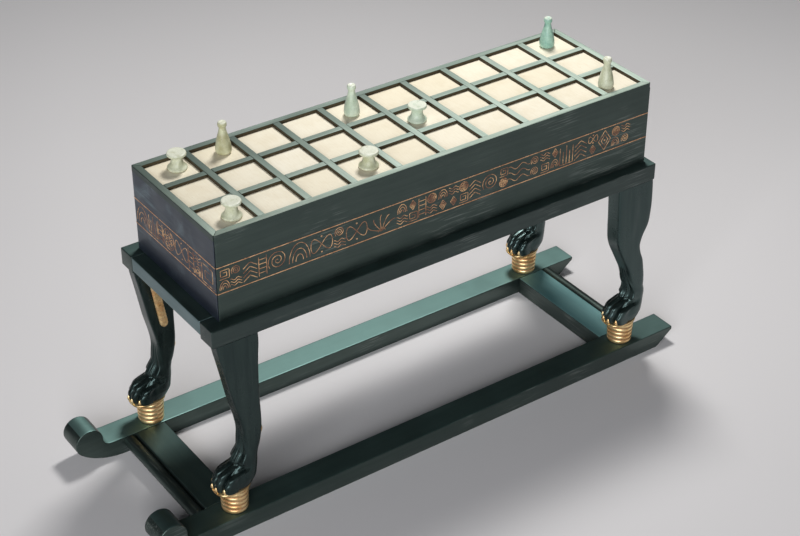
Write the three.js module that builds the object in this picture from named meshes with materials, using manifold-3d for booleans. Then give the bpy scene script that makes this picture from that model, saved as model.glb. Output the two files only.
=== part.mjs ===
// A senet board: a games box with a drawer, lying on a bed frame with four lion legs,
// which stand on gilded drums on a sledge. Eight playing pieces stand on the board.
// Millimetres. +X runs from the curled head of the sledge to its tail, +Y to the back, +Z up.
// The origin is the middle of the sledge, on the floor.
import * as THREE from 'three';
import { mergeVertices } from 'three/addons/utils/BufferGeometryUtils.js';
import Module from 'manifold-3d';

const wasm = await Module();
wasm.setup();

// Fits
const SEAT = 0.25; // air between pieces that rest on or push into each other
const RUNNING = 0.5; // air on each side of the drawer

// Games box
const BOX_LENGTH = 460;
const BOX_WIDTH = 138;
const BOX_HEIGHT = 82.5;
const BOX_WALL = 9;
const BOX_BOARD = 6;
const BAR = 6.5; // width of the bars between the squares
const RECESS = 3; // depth of the squares below the bars
const IVORY = 2;
const COLUMNS = 10;
const ROWS = 3;

// Sledge
const HEAD_OVERHANG = 69; // from the frame's end to the tip of the curl
const TAIL_OVERHANG = 30.5;
const RUNNER_WIDTH = 27;
const RUNNER_HEIGHT = 18;
const CURL_RADIUS = 13.5;
const CURL_HEIGHT = 39.5; // floor to the top of the curl
const CURL_SWEEP = 36; // from the middle of the curl to where the runner is straight
const TAIL_LIP = 3.5; // upright face left above the tail's bevel
const TAIL_BEVEL = 19;
const BOARD_WIDTH = 30;
const BOARD_TENON = 10;
const BOARD_TENON_HEIGHT = 8;
const HEAD_BOARD_LEAD = 8; // the head board's middle lies this far ahead of the drums
const ROD_RADIUS = 6;
const ROD_SOCKET = 6;

// Bed frame
const STAND_HEIGHT = 209; // floor to the top of the frame
const FRAME_LEDGE = 9.5; // the frame stands out this far round the box
const BOX_SHIFT = 3; // the box lies this far tailwards of the frame's middle
const RAIL_WIDTH = 20;
const SIDE_RAIL_HEIGHT = 17;
const END_RAIL_HEIGHT = 14;
const RAIL_TENON = 12;
const RAIL_TENON_HEIGHT = 7;

// Drums and sole plates
const FOREDRUM_INSET = 13; // from the frame's head end to the drum's axis
const HINDDRUM_INSET = 26.5; // from the frame's tail end to the drum's axis
const DRUM_INSET = 2.5; // from the frame's side face to a drum's axis
const RUNNER_SPREAD = 1.5; // the runners' middles lie this far outside the drums' axes
const DRUM_HEIGHT = 23.5;
const DRUM_TOP_RADIUS = 12.2;
const DRUM_FOOT_RADIUS = 11;
const DRUM_RIBS = 5;
const DRUM_RIB_DEPTH = 0.9;
const SOLE_THICKNESS = 2;
const SOLE_WIDTH = 26.8;
const SOLE_HEEL = 15; // from the drum's axis to the back of the sole plate
const SOLE_NOSE = 20.6; // and to its front

// Paws, measured from the drum's axis, with the toes towards -X
const PAW_HEIGHT = 34;
const TOE_COUNT = 4;
const TOE_PITCH = 6.5;
const TOE_REACH = 20;
const TOE_SETBACK = 2.2; // the middle toes lie a quarter of this back, the outer ones over twice
const TOE_LENGTH = 11.8; // half the length of a toe
const TOE_HEIGHT = 12.3; // half the height of a toe in the paw's middle
const TOE_FALL = 2; // towards the paw's sides the toes get lower, in the way of the setback
const TOE_WIDTH = 4; // half the width of a toe
const CLAW_HEIGHT = 3.8; // half the height of a claw
const CLAW_WIDTH = 1.7;
const CLAW_DEPTH = 1.6;

// Legs
const FORELEG_THICKNESS = 13;
const HINDLEG_THICKNESS = 18;
const ANKLE_THICKNESS = 19;
const LEG_SETBACK = 0.5; // the leg's outer face lies this far inside the rail's
const LEG_TENON_LENGTH = 16;
const LEG_TENON_WIDTH = 8;
const LEG_TENON_HEIGHT = 5;
const DEWCLAW_RISE = 13; // above the paw
const DEWCLAW_LENGTH = 13;
const DEWCLAW_RADIUS = 3;

// Braces between the legs and the end rails
const BRACE_WIDTH = 9.5;
const BRACE_DEPTH = 7;
const BRACE_DROP = 73; // from the frame's underside to the brace's lower end
const BRACE_SPREAD = 25; // from the leg's inner face to the brace's upper end

// Drawer
const DRAWER_FACE = 9;
const DRAWER_BOARD = 5;
const DRAWER_FLOOR = 4;
const DRAWER_DEPTH = 50; // height of the drawer's sides
const KNOB_RADIUS = 7;
const KNOB_REACH = 12;

// Playing pieces
const CONE_HEIGHT = 30;
const CONE_RADIUS = 7.5;
const SPOOL_HEIGHT = 16;
const SPOOL_RADIUS = 9;

// Fineness of round shapes
const LEG_POINTS = 18;
const SHANK_RINGS = 10;
const DRUM_SIDES = 20;
const BRACE_STEPS = 12;
const BRACE_SIDES = 10;
const PIECE_SIDES = 16;

// Sizes that follow from the box
const FRAME_LENGTH = BOX_LENGTH + 2 * FRAME_LEDGE;
const FRAME_WIDTH = BOX_WIDTH + 2 * FRAME_LEDGE;
const SLEDGE_LENGTH = HEAD_OVERHANG + FRAME_LENGTH + TAIL_OVERHANG;
const DRUM_GAUGE = FRAME_WIDTH - 2 * DRUM_INSET;
const RUNNER_GAUGE = DRUM_GAUGE + 2 * RUNNER_SPREAD;

// Places that follow from the sizes
const SLEDGE_TAIL = SLEDGE_LENGTH / 2;
const FRAME_TAIL = SLEDGE_TAIL - TAIL_OVERHANG;
const FRAME_HEAD = FRAME_TAIL - FRAME_LENGTH;
const FRAME_TOP = STAND_HEIGHT;
const FRAME_UNDERSIDE = FRAME_TOP - SIDE_RAIL_HEIGHT;
const END_RAIL_UNDERSIDE = FRAME_TOP - END_RAIL_HEIGHT;
const FOREDRUM_X = FRAME_HEAD + FOREDRUM_INSET;
const HINDDRUM_X = FRAME_TAIL - HINDDRUM_INSET;
const DRUM_FOOT = RUNNER_HEIGHT + SEAT;
const SOLE_FOOT = DRUM_FOOT + DRUM_HEIGHT + SEAT;
const PAW_FOOT = SOLE_FOOT + SOLE_THICKNESS + SEAT;
const LEG_HEIGHT = FRAME_UNDERSIDE - SEAT - PAW_FOOT;
const LEG_OUTSIDE = DRUM_INSET - LEG_SETBACK;
const BOX_X = (FRAME_HEAD + FRAME_TAIL) / 2 + BOX_SHIFT;
const BOX_FOOT = FRAME_TOP + SEAT;
const LATTICE_HEIGHT = RECESS + IVORY + SEAT;
const WALL_HEIGHT = BOX_HEIGHT - LATTICE_HEIGHT - SEAT;
const CELL_X = (BOX_LENGTH - (COLUMNS + 1) * BAR) / COLUMNS;
const CELL_Y = (BOX_WIDTH - (ROWS + 1) * BAR) / ROWS;
const SQUARE_TOP = BOX_HEIGHT - RECESS - SEAT;

// Finishes
const ebony = { color: 0x1b2a2b, roughness: 0.38, metalness: 0 };
const ivory = { color: 0xe9ddc0, roughness: 0.5, metalness: 0 };
const gilt = { color: 0xc98a4b, roughness: 0.35, metalness: 0.9 };
const cedar = { color: 0x6b4a31, roughness: 0.6, metalness: 0 };
const paleFaience = { color: 0xd3d6bf, roughness: 0.35, metalness: 0 };
const greenFaience = { color: 0xa9c7b0, roughness: 0.3, metalness: 0 };
const blueFaience = { color: 0x8dbfae, roughness: 0.3, metalness: 0 };

// A named mesh with its own material.
function piece(name, geometry, finish) {
  const mesh = new THREE.Mesh(geometry, new THREE.MeshStandardMaterial(finish));
  mesh.name = name;
  return mesh;
}

// A block between two corners.
function block(x0, x1, y0, y1, z0, z1) {
  const size = new THREE.BoxGeometry(x1 - x0, y1 - y0, z1 - z0);
  return size.translate((x0 + x1) / 2, (y0 + y1) / 2, (z0 + z1) / 2);
}

// An upright prism over an outline of [x, y] corners.
function prism(corners, z0, z1) {
  const outline = new THREE.Shape(corners.map(([x, y]) => new THREE.Vector2(x, y)));
  const body = new THREE.ExtrudeGeometry(outline, { depth: z1 - z0, bevelEnabled: false });
  return body.translate(0, 0, z0);
}

// A round body turned about the Z axis from a profile of [radius, height] points.
function turned(profile, sides) {
  const points = profile.map(([radius, height]) => new THREE.Vector2(radius, height));
  return new THREE.LatheGeometry(points, sides).rotateX(Math.PI / 2);
}

// Closed geometry as a solid that can be joined and cut.
function solid(geometry) {
  const bare = geometry.clone();
  bare.deleteAttribute('normal');
  bare.deleteAttribute('uv');
  const merged = mergeVertices(bare, 1e-4);
  return new wasm.Manifold(new wasm.Mesh({
    numProp: 3,
    vertProperties: new Float32Array(merged.attributes.position.array),
    triVerts: new Uint32Array(merged.index.array),
  }));
}

// A solid as geometry again.
function skin(body) {
  const mesh = body.getMesh();
  const geometry = new THREE.BufferGeometry();
  geometry.setAttribute('position', new THREE.BufferAttribute(mesh.vertProperties, 3));
  geometry.setIndex(new THREE.BufferAttribute(mesh.triVerts, 1));
  geometry.computeVertexNormals();
  return geometry;
}

// Joins geometries into one solid.
function join(geometries) {
  return geometries.map(solid).reduce((whole, part) => whole.add(part));
}

// Cuts the second list of geometries out of the first and gives geometry.
function cut(bodies, tools) {
  return skin(tools.map(solid).reduce((whole, tool) => whole.subtract(tool), join(bodies)));
}

// The same geometry on the other side of the XZ plane, with its faces still outwards.
function mirrored(geometry) {
  const twin = geometry.index ? geometry.toNonIndexed() : geometry.clone();
  const places = twin.attributes.position;
  for (let i = 0; i < places.count; i += 3) {
    const corner = new THREE.Vector3().fromBufferAttribute(places, i + 1);
    places.setXYZ(i + 1, places.getX(i + 2), places.getY(i + 2), places.getZ(i + 2));
    places.setXYZ(i + 2, corner.x, corner.y, corner.z);
  }
  for (let i = 0; i < places.count; i += 1) {
    places.setY(i, -places.getY(i));
  }
  twin.computeVertexNormals();
  return twin;
}

// A closed skin through rings of points, with a flat cap at each end.
function loft(rings) {
  const count = rings[0].length;
  const faces = [];
  for (let r = 0; r + 1 < rings.length; r += 1) {
    for (let i = 0; i < count; i += 1) {
      const a = r * count + i;
      const b = r * count + (i + 1) % count;
      faces.push(a, b, b + count, a, b + count, a + count);
    }
  }
  const last = (rings.length - 1) * count;
  for (let i = 1; i + 1 < count; i += 1) {
    faces.push(0, i + 1, i, last, last + i, last + i + 1);
  }
  const geometry = new THREE.BufferGeometry().setFromPoints(rings.flat());
  geometry.setIndex(faces);
  geometry.computeVertexNormals();
  return geometry;
}

// Smooth curve through [place, value, value...] knots, read at a place.
function through(knots, place) {
  const last = knots.length - 1;
  let i = knots.findIndex((knot) => knot[0] > place) - 1;
  if (i < 0) i = place <= knots[0][0] ? 0 : last - 1;
  const span = knots[i + 1][0] - knots[i][0];
  const t = (place - knots[i][0]) / span;
  const slope = (k, j) => {
    const low = knots[Math.max(k - 1, 0)];
    const high = knots[Math.min(k + 1, last)];
    return (high[j] - low[j]) / (high[0] - low[0]);
  };
  return knots[i].slice(1).map((value, index) => {
    const j = index + 1;
    const rise = knots[i + 1][j] - value;
    const early = slope(i, j) * span;
    const late = slope(i + 1, j) * span;
    return value + t * (early + t * (3 * rise - 2 * early - late + t * (early + late - 2 * rise)));
  });
}

// A level ring between round and square, front to back and half to each side.
function levelRing(front, back, half, middle, height, squareness) {
  const bend = (value) => Math.sign(value) * Math.abs(value) ** (2 / squareness);
  return Array.from({ length: LEG_POINTS }, (_, i) => {
    const turn = (2 * Math.PI * i) / LEG_POINTS;
    const x = (front + back) / 2 + ((back - front) / 2) * bend(Math.cos(turn));
    return new THREE.Vector3(x, middle + half * bend(Math.sin(turn)), height);
  });
}

// Lion legs. Heights in a paw are shares of the paw, and in a shank shares of the shank.
// Each knot is [height, front edge, back edge, half width], from the drum's axis.
const pawKnots = [
  [0, -12.5, 14, 11.5],
  [0.22, -13.5, 20, 12.6],
  [0.45, -12, 21.5, 11.8],
  [0.65, -7.5, 22.3, 10.8],
  [0.82, -2.5, 22.7, 10.2],
  [1, 1, 23, ANKLE_THICKNESS / 2],
];
const forelegKnots = [
  [0, 1, 24],
  [0.13, 4.8, 26.6],
  [0.5, 0.5, 27.5],
  [0.8, -5, 29.5],
  [0.93, -8, 31],
  [1, -9, 31],
];
const hindlegKnots = [
  [0, 0.5, 21.5],
  [0.1, -1.5, 20.2],
  [0.18, -2.3, 18.8],
  [0.26, -5, 17.4],
  [0.34, -9, 14.2],
  [0.41, -12.5, 13],
  [0.49, -15.2, 15.8],
  [0.59, -15.8, 22.3],
  [0.7, -15.6, 25],
  [0.88, -15.5, 26.5],
  [1, -15.5, 26.5],
];

// The rings of a leg from its sole to its top, grown outwards by a little for a seat.
function legRings(knots, thickness, grow) {
  const rings = pawKnots.slice(0, -1).map(([share, front, back, half]) => (
    levelRing(front - grow, back + grow, half + grow, 0, share * PAW_HEIGHT, 2.6)));
  for (let i = 0; i <= SHANK_RINGS; i += 1) {
    const share = i / SHANK_RINGS;
    const [front, back] = through(knots, share);
    const half = THREE.MathUtils.lerp(ANKLE_THICKNESS, thickness, share) / 2;
    const middle = (LEG_OUTSIDE - thickness / 2) * share;
    const height = THREE.MathUtils.lerp(PAW_HEIGHT, LEG_HEIGHT, share);
    const squareness = THREE.MathUtils.lerp(2.4, 9, share);
    rings.push(levelRing(front - grow, back + grow, half + grow, middle, height, squareness));
  }
  return rings;
}

// The places of the toe tips and half the toes' heights: [x, y, height]. The outer toes are
// set back and lower.
function toeTips() {
  return Array.from({ length: TOE_COUNT }, (_, i) => {
    const y = (i - (TOE_COUNT - 1) / 2) * TOE_PITCH;
    const aside = (y / TOE_PITCH) ** 2;
    return [TOE_SETBACK * aside - TOE_REACH, y, TOE_HEIGHT - TOE_FALL * aside];
  });
}

// One rounded toe, grown outwards by a little for a claw's seat.
function toe([tip, y, height], grow) {
  const ball = new THREE.SphereGeometry(1, 10, 8).rotateX(Math.PI / 2);
  ball.scale(TOE_LENGTH + grow, TOE_WIDTH + grow, height + grow);
  return ball.translate(tip + TOE_LENGTH, y, height + SEAT);
}

// The tenon on a leg's top, or the mortise it needs.
function legTenon(knots, thickness, grow) {
  const [front, back] = through(knots, 1);
  const middle = LEG_OUTSIDE - thickness / 2;
  const x = (front + back) / 2;
  const length = LEG_TENON_LENGTH / 2 + grow;
  const width = LEG_TENON_WIDTH / 2 + grow;
  const top = LEG_HEIGHT + LEG_TENON_HEIGHT + grow;
  return block(x - length, x + length, middle - width, middle + width, LEG_HEIGHT - 1, top);
}

// A whole leg with its paw and tenon.
function leg(knots, thickness) {
  const shank = loft(legRings(knots, thickness, 0));
  const toes = toeTips().map((tip) => toe(tip, 0));
  return skin(join([shank, ...toes, legTenon(knots, thickness, 0)]));
}

// The gilded plate under a paw, with a claw over the tip of each toe.
function solePlate() {
  const half = SOLE_WIDTH / 2;
  const nose = -SOLE_NOSE;
  const outline = new THREE.Shape();
  outline.absellipse(0, 0, SOLE_HEEL, half, -Math.PI / 2, Math.PI / 2, false);
  outline.bezierCurveTo(nose, half, nose, half / 2, nose, 0);
  outline.bezierCurveTo(nose, -half / 2, nose, -half, 0, -half);
  const plate = new THREE.ExtrudeGeometry(outline, {
    depth: SOLE_THICKNESS, bevelEnabled: false, curveSegments: 6,
  });
  plate.translate(0, 0, -SOLE_THICKNESS - SEAT);
  const claws = toeTips().map(([tip, y]) => {
    const claw = new THREE.SphereGeometry(1, 8, 6).rotateX(Math.PI / 2);
    claw.scale(CLAW_DEPTH, CLAW_WIDTH, CLAW_HEIGHT);
    return claw.translate(tip, y, CLAW_HEIGHT - SOLE_THICKNESS / 2 - SEAT);
  });
  const pad = loft(legRings(forelegKnots, FORELEG_THICKNESS, SEAT).slice(0, 5));
  const toes = toeTips().map((tip) => toe(tip, SEAT));
  return cut([plate, ...claws], [pad, ...toes]);
}

// The gilded dewclaw behind a foreleg, seated on the leg's back edge.
function dewclaw() {
  const share = DEWCLAW_RISE / (LEG_HEIGHT - PAW_HEIGHT);
  const back = through(forelegKnots, share)[1];
  const horn = new THREE.SphereGeometry(1, 8, 6).rotateX(Math.PI / 2);
  horn.scale(DEWCLAW_RADIUS, DEWCLAW_RADIUS, DEWCLAW_LENGTH / 2);
  horn.translate(back + DEWCLAW_RADIUS * 0.6, 0, PAW_HEIGHT + DEWCLAW_RISE);
  return cut([horn], [loft(legRings(forelegKnots, FORELEG_THICKNESS, SEAT))]);
}

// A gilded brace from a leg's inner face up to the underside of the end rail, bent like a bow
// and rounded at its lower end. railX is the end rail's middle, from the drum's axis.
function brace(knots, thickness, railX) {
  const inner = LEG_OUTSIDE - thickness;
  const foot = LEG_HEIGHT - BRACE_DROP;
  const [front, back] = through(knots, (foot - PAW_HEIGHT) / (LEG_HEIGHT - PAW_HEIGHT));
  const footX = (front + back) / 2;
  const railZ = END_RAIL_UNDERSIDE - SEAT - PAW_FOOT;
  const path = new THREE.QuadraticBezierCurve3(
    new THREE.Vector3(footX, inner - 1, foot),
    new THREE.Vector3((footX + railX) / 2, inner - 1, railZ - BRACE_DROP / 5),
    new THREE.Vector3(railX, inner - BRACE_SPREAD, railZ + BRACE_DEPTH / 2),
  );
  const rings = Array.from({ length: BRACE_STEPS + 1 }, (_, i) => {
    const share = i / BRACE_STEPS;
    const middle = path.getPoint(share);
    const along = path.getTangent(share);
    const across = new THREE.Vector3(1, 0, 0).addScaledVector(along, -along.x).normalize();
    const depth = new THREE.Vector3().crossVectors(along, across);
    const fullness = Math.sqrt(1 - (1 - Math.min(1, (i + 0.5) / 2)) ** 2);
    return Array.from({ length: BRACE_SIDES }, (__, k) => {
      const turn = (2 * Math.PI * k) / BRACE_SIDES;
      return middle.clone()
        .addScaledVector(across, (fullness * Math.cos(turn) * BRACE_WIDTH) / 2)
        .addScaledVector(depth, (fullness * Math.sin(turn) * BRACE_DEPTH) / 2);
    });
  });
  const reach = FRAME_WIDTH / 2;
  const rail = block(-reach, reach, -reach, reach, railZ, railZ + END_RAIL_HEIGHT);
  return cut([loft(rings)], [rail, loft(legRings(knots, thickness, SEAT))]);
}

// A ribbed drum, a little narrower at its foot.
function drum() {
  const profile = [[0, 0]];
  const steps = 2;
  for (let i = 0; i <= DRUM_RIBS * steps; i += 1) {
    const share = i / (DRUM_RIBS * steps);
    const bulge = Math.sin((Math.PI * (i % steps)) / steps) * DRUM_RIB_DEPTH;
    const radius = THREE.MathUtils.lerp(DRUM_FOOT_RADIUS, DRUM_TOP_RADIUS, share);
    profile.push([radius + bulge, share * DRUM_HEIGHT]);
  }
  profile.push([0, DRUM_HEIGHT]);
  return turned(profile, DRUM_SIDES);
}

// Ends of the stand, with what each end's legs need.
const stations = [
  {
    leg: 'foreleg', x: FOREDRUM_X, knots: forelegKnots, thickness: FORELEG_THICKNESS,
    railX: FRAME_HEAD + RAIL_WIDTH / 2 - FOREDRUM_X,
  },
  {
    leg: 'hindleg', x: HINDDRUM_X, knots: hindlegKnots, thickness: HINDLEG_THICKNESS,
    railX: FRAME_TAIL - RAIL_WIDTH / 2 - HINDDRUM_X,
  },
];
const sides = [
  { side: 'front', sign: -1 },
  { side: 'back', sign: 1 },
];

// Geometry made for the back side, turned over for the front side.
function handed(geometry, sign) {
  return sign > 0 ? geometry : mirrored(geometry);
}

// A leg with its drum, sole plate, brace and, in front, its dewclaw.
function legGroup(station, { side, sign }) {
  const group = new THREE.Group();
  const { knots, thickness, railX } = station;
  const name = `${station.leg}_${side}`;
  const foot = new THREE.Group();
  foot.position.z = PAW_FOOT;
  foot.add(piece(name, handed(leg(knots, thickness), sign), ebony));
  foot.add(piece(`sole_plate_${name}`, handed(solePlate(), sign), gilt));
  foot.add(piece(`brace_${name}`, handed(brace(knots, thickness, railX), sign), gilt));
  if (knots === forelegKnots) {
    foot.add(piece(`dewclaw_${side}`, handed(dewclaw(), sign), gilt));
  }
  const support = piece(`drum_${name}`, drum(), gilt);
  support.position.z = DRUM_FOOT;
  group.add(foot, support);
  group.position.set(station.x, (sign * DRUM_GAUGE) / 2, 0);
  return group;
}

// A side rail with mortises for the end rails and the legs.
function sideRail(sign) {
  const outside = FRAME_WIDTH / 2;
  const inside = outside - RAIL_WIDTH;
  const bar = block(FRAME_HEAD, FRAME_TAIL, inside, outside, FRAME_UNDERSIDE, FRAME_TOP);
  const mortises = [FRAME_HEAD, FRAME_TAIL - RAIL_WIDTH].map((x) => endTenon(x, inside - 1, SEAT));
  const legMortises = stations.map(({ x, knots, thickness }) => (
    legTenon(knots, thickness, SEAT).translate(x, DRUM_GAUGE / 2, PAW_FOOT)));
  return handed(cut([bar], [...mortises, ...legMortises]), sign);
}

// The tenon at the back end of an end rail that starts at x, or the mortise it needs.
function endTenon(x, from, grow) {
  const middle = FRAME_TOP - END_RAIL_HEIGHT / 2;
  const half = RAIL_TENON_HEIGHT / 2 + grow;
  const cheek = RAIL_WIDTH / 4 - grow;
  const to = FRAME_WIDTH / 2 - RAIL_WIDTH + RAIL_TENON + grow;
  return block(x + cheek, x + RAIL_WIDTH - cheek, from, to, middle - half, middle + half);
}

// An end rail between the side rails, with a tenon at each end.
function endRail(x) {
  const shoulder = FRAME_WIDTH / 2 - RAIL_WIDTH - SEAT;
  const bar = block(x, x + RAIL_WIDTH, -shoulder, shoulder, END_RAIL_UNDERSIDE, FRAME_TOP);
  const tenon = endTenon(x, shoulder - 1, 0);
  return skin(join([bar, tenon, mirrored(tenon)]));
}

// The places along the sledge of the two cross boards and their rods.
const headBoardX = FOREDRUM_X - HEAD_BOARD_LEAD;
const crossings = [
  { end: 'head', x: headBoardX, rodX: headBoardX - BOARD_WIDTH / 2 - SEAT - ROD_RADIUS },
  { end: 'tail', x: HINDDRUM_X, rodX: HINDDRUM_X + BOARD_WIDTH / 2 + SEAT + ROD_RADIUS },
];
const RUNNER_INSIDE = (RUNNER_GAUGE - RUNNER_WIDTH) / 2;
const ROD_Z = RUNNER_HEIGHT - ROD_RADIUS;

// The tongue of a cross board that reaches into the back runner, or the mortise it needs.
function boardTenon(x, from, grow) {
  const half = BOARD_WIDTH / 3 + grow;
  const low = (RUNNER_HEIGHT - BOARD_TENON_HEIGHT) / 2 - grow;
  return block(x - half, x + half, from, RUNNER_INSIDE + BOARD_TENON + grow, low,
    low + BOARD_TENON_HEIGHT + 2 * grow);
}

// A round bar across the sledge.
function crossRod(x, radius, from, to) {
  return new THREE.CylinderGeometry(radius, radius, to - from, 16)
    .translate(0, (from + to) / 2, 0).translate(x, 0, ROD_Z);
}

// A runner: a bar with a curled head and a tail bevelled from below.
function runner() {
  const curlX = CURL_RADIUS - SLEDGE_TAIL;
  const curlZ = CURL_HEIGHT - CURL_RADIUS;
  const straight = curlX + CURL_SWEEP;
  const underTurn = (5 * Math.PI) / 4;
  const overTurn = -0.1;
  const underX = curlX + CURL_RADIUS * Math.cos(underTurn);
  const underZ = curlZ + CURL_RADIUS * Math.sin(underTurn);
  const overX = curlX + CURL_RADIUS;
  const side = new THREE.Shape();
  side.moveTo(SLEDGE_TAIL, RUNNER_HEIGHT);
  side.lineTo(SLEDGE_TAIL, RUNNER_HEIGHT - TAIL_LIP);
  side.lineTo(SLEDGE_TAIL - TAIL_BEVEL, 0);
  side.lineTo(straight, 0);
  const ease = CURL_SWEEP * 0.6;
  const lead = CURL_RADIUS * 0.6;
  side.bezierCurveTo(straight - ease, 0, underX + lead, underZ - lead, underX, underZ);
  side.absarc(curlX, curlZ, CURL_RADIUS, underTurn, overTurn, true);
  side.bezierCurveTo(overX, curlZ - lead, overX + lead, RUNNER_HEIGHT, straight, RUNNER_HEIGHT);
  const bar = new THREE.ExtrudeGeometry(side, {
    depth: RUNNER_WIDTH, bevelEnabled: false, curveSegments: 12,
  });
  bar.rotateX(Math.PI / 2).translate(0, RUNNER_INSIDE + RUNNER_WIDTH, 0);
  const from = RUNNER_INSIDE - 1;
  const mortises = crossings.map(({ x }) => boardTenon(x, from, SEAT));
  const sockets = crossings.map(({ rodX }) => (
    crossRod(rodX, ROD_RADIUS + SEAT, from, RUNNER_INSIDE + ROD_SOCKET + SEAT)));
  return cut([bar], [...mortises, ...sockets]);
}

// A board across the sledge, with a tongue at each end.
function crossBoard(x) {
  const half = BOARD_WIDTH / 2;
  const shoulder = RUNNER_INSIDE - SEAT;
  const board = block(x - half, x + half, -shoulder, shoulder, 0, RUNNER_HEIGHT);
  const tongue = boardTenon(x, shoulder - 1, 0);
  return skin(join([board, tongue, mirrored(tongue)]));
}

const sledge = new THREE.Group();
const backRunner = runner();
for (const { side, sign } of sides) {
  sledge.add(piece(`runner_${side}`, handed(backRunner, sign), ebony));
}
for (const { end, x, rodX } of crossings) {
  const reach = RUNNER_INSIDE + ROD_SOCKET;
  sledge.add(piece(`cross_board_${end}`, crossBoard(x), ebony));
  sledge.add(piece(`cross_rod_${end}`, crossRod(rodX, ROD_RADIUS, -reach, reach), ebony));
}

const stand = new THREE.Group();
for (const { side, sign } of sides) {
  stand.add(piece(`side_rail_${side}`, sideRail(sign), ebony));
  stations.forEach((station) => stand.add(legGroup(station, { side, sign })));
}
stand.add(piece('end_rail_head', endRail(FRAME_HEAD), ebony));
stand.add(piece('end_rail_tail', endRail(FRAME_TAIL - RAIL_WIDTH), ebony));

// The games box, in its own frame: the middle of its underside is the origin.
const HALF_LENGTH = BOX_LENGTH / 2;
const HALF_WIDTH = BOX_WIDTH / 2;

// A long side, mitred at the head and square at the drawer's end.
function boxSide() {
  const inside = HALF_WIDTH - BOX_WALL;
  return prism([
    [-HALF_LENGTH + BOX_WALL + SEAT, inside],
    [HALF_LENGTH, inside],
    [HALF_LENGTH, HALF_WIDTH],
    [-HALF_LENGTH + SEAT, HALF_WIDTH],
  ], 0, WALL_HEIGHT);
}

// The closed end at the head, mitred at both corners.
function boxEnd() {
  const outer = HALF_WIDTH - SEAT;
  const inner = HALF_WIDTH - BOX_WALL - SEAT;
  return prism([
    [-HALF_LENGTH, -outer],
    [-HALF_LENGTH + BOX_WALL, -inner],
    [-HALF_LENGTH + BOX_WALL, inner],
    [-HALF_LENGTH, outer],
  ], 0, WALL_HEIGHT);
}

// A board that closes the box between its walls, with its underside at a height.
function boxBoard(height) {
  const inside = HALF_WIDTH - BOX_WALL - SEAT;
  const head = -HALF_LENGTH + BOX_WALL + SEAT;
  return block(head, HALF_LENGTH, -inside, inside, height, height + BOX_BOARD);
}

// The middle of a square, counted from the head and from the front.
function squareMiddle(column, row) {
  return [
    -HALF_LENGTH + BAR + CELL_X / 2 + column * (CELL_X + BAR),
    -HALF_WIDTH + BAR + CELL_Y / 2 + row * (CELL_Y + BAR),
  ];
}

// The raised bars of the board. Cross bars reach down between the ivory strips, and the long
// bars lie over them.
function lattice() {
  const foot = WALL_HEIGHT + SEAT;
  const overIvory = SQUARE_TOP + SEAT;
  const slab = block(-HALF_LENGTH, HALF_LENGTH, -HALF_WIDTH, HALF_WIDTH, foot, BOX_HEIGHT);
  const openings = [];
  for (let column = 0; column < COLUMNS; column += 1) {
    const [middle] = squareMiddle(column, 0);
    const x0 = middle - CELL_X / 2;
    const x1 = middle + CELL_X / 2;
    openings.push(block(x0, x1, BAR - HALF_WIDTH, HALF_WIDTH - BAR, foot - 1, overIvory));
    for (let row = 0; row < ROWS; row += 1) {
      const [, y] = squareMiddle(column, row);
      openings.push(block(x0, x1, y - CELL_Y / 2, y + CELL_Y / 2, foot, BOX_HEIGHT + 1));
    }
  }
  return cut([slab], openings);
}

// One ivory strip, which shows as the three squares of a column.
function ivoryStrip(column) {
  const [x] = squareMiddle(column, 0);
  const halfLength = CELL_X / 2 - SEAT;
  const halfWidth = HALF_WIDTH - BAR - SEAT;
  return block(x - halfLength, x + halfLength, -halfWidth, halfWidth, SQUARE_TOP - IVORY, SQUARE_TOP);
}

const box = new THREE.Group();
for (const { side, sign } of sides) {
  box.add(piece(`box_side_${side}`, handed(boxSide(), sign), ebony));
}
box.add(piece('box_end_head', boxEnd(), ebony));
box.add(piece('box_bottom_board', boxBoard(0), ebony));
box.add(piece('box_top_board', boxBoard(WALL_HEIGHT - BOX_BOARD), ebony));
box.add(piece('lattice', lattice(), ebony));
for (let column = 0; column < COLUMNS; column += 1) {
  const number = String(column + 1).padStart(2, '0');
  box.add(piece(`ivory_strip_${number}`, ivoryStrip(column), ivory));
}

// The drawer, which fills the box and opens at the tail.
const DRAWER_HALF = HALF_WIDTH - BOX_WALL - RUNNING;
const DRAWER_FOOT = BOX_BOARD + SEAT;
const DRAWER_TAIL = HALF_LENGTH - DRAWER_FACE - SEAT;
const DRAWER_HEAD = -HALF_LENGTH + BOX_WALL + RUNNING;
const FACE_HEIGHT = WALL_HEIGHT - 2 * BOX_BOARD - SEAT - RUNNING;
const drawer = new THREE.Group();
drawer.position.z = DRAWER_FOOT;
drawer.add(piece('drawer_front', block(HALF_LENGTH - DRAWER_FACE, HALF_LENGTH, -DRAWER_HALF,
  DRAWER_HALF, 0, FACE_HEIGHT), ebony));
drawer.add(piece('drawer_floor', block(DRAWER_HEAD, DRAWER_TAIL, -DRAWER_HALF, DRAWER_HALF, 0,
  DRAWER_FLOOR), cedar));
for (const { side, sign } of sides) {
  const wall = block(DRAWER_HEAD, DRAWER_TAIL, DRAWER_HALF - DRAWER_BOARD, DRAWER_HALF,
    DRAWER_FLOOR + SEAT, DRAWER_DEPTH);
  drawer.add(piece(`drawer_side_${side}`, handed(wall, sign), cedar));
}
const DRAWER_INSIDE = DRAWER_HALF - DRAWER_BOARD - SEAT;
drawer.add(piece('drawer_back', block(DRAWER_HEAD, DRAWER_HEAD + DRAWER_BOARD, -DRAWER_INSIDE,
  DRAWER_INSIDE, DRAWER_FLOOR + SEAT, DRAWER_DEPTH), cedar));

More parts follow.
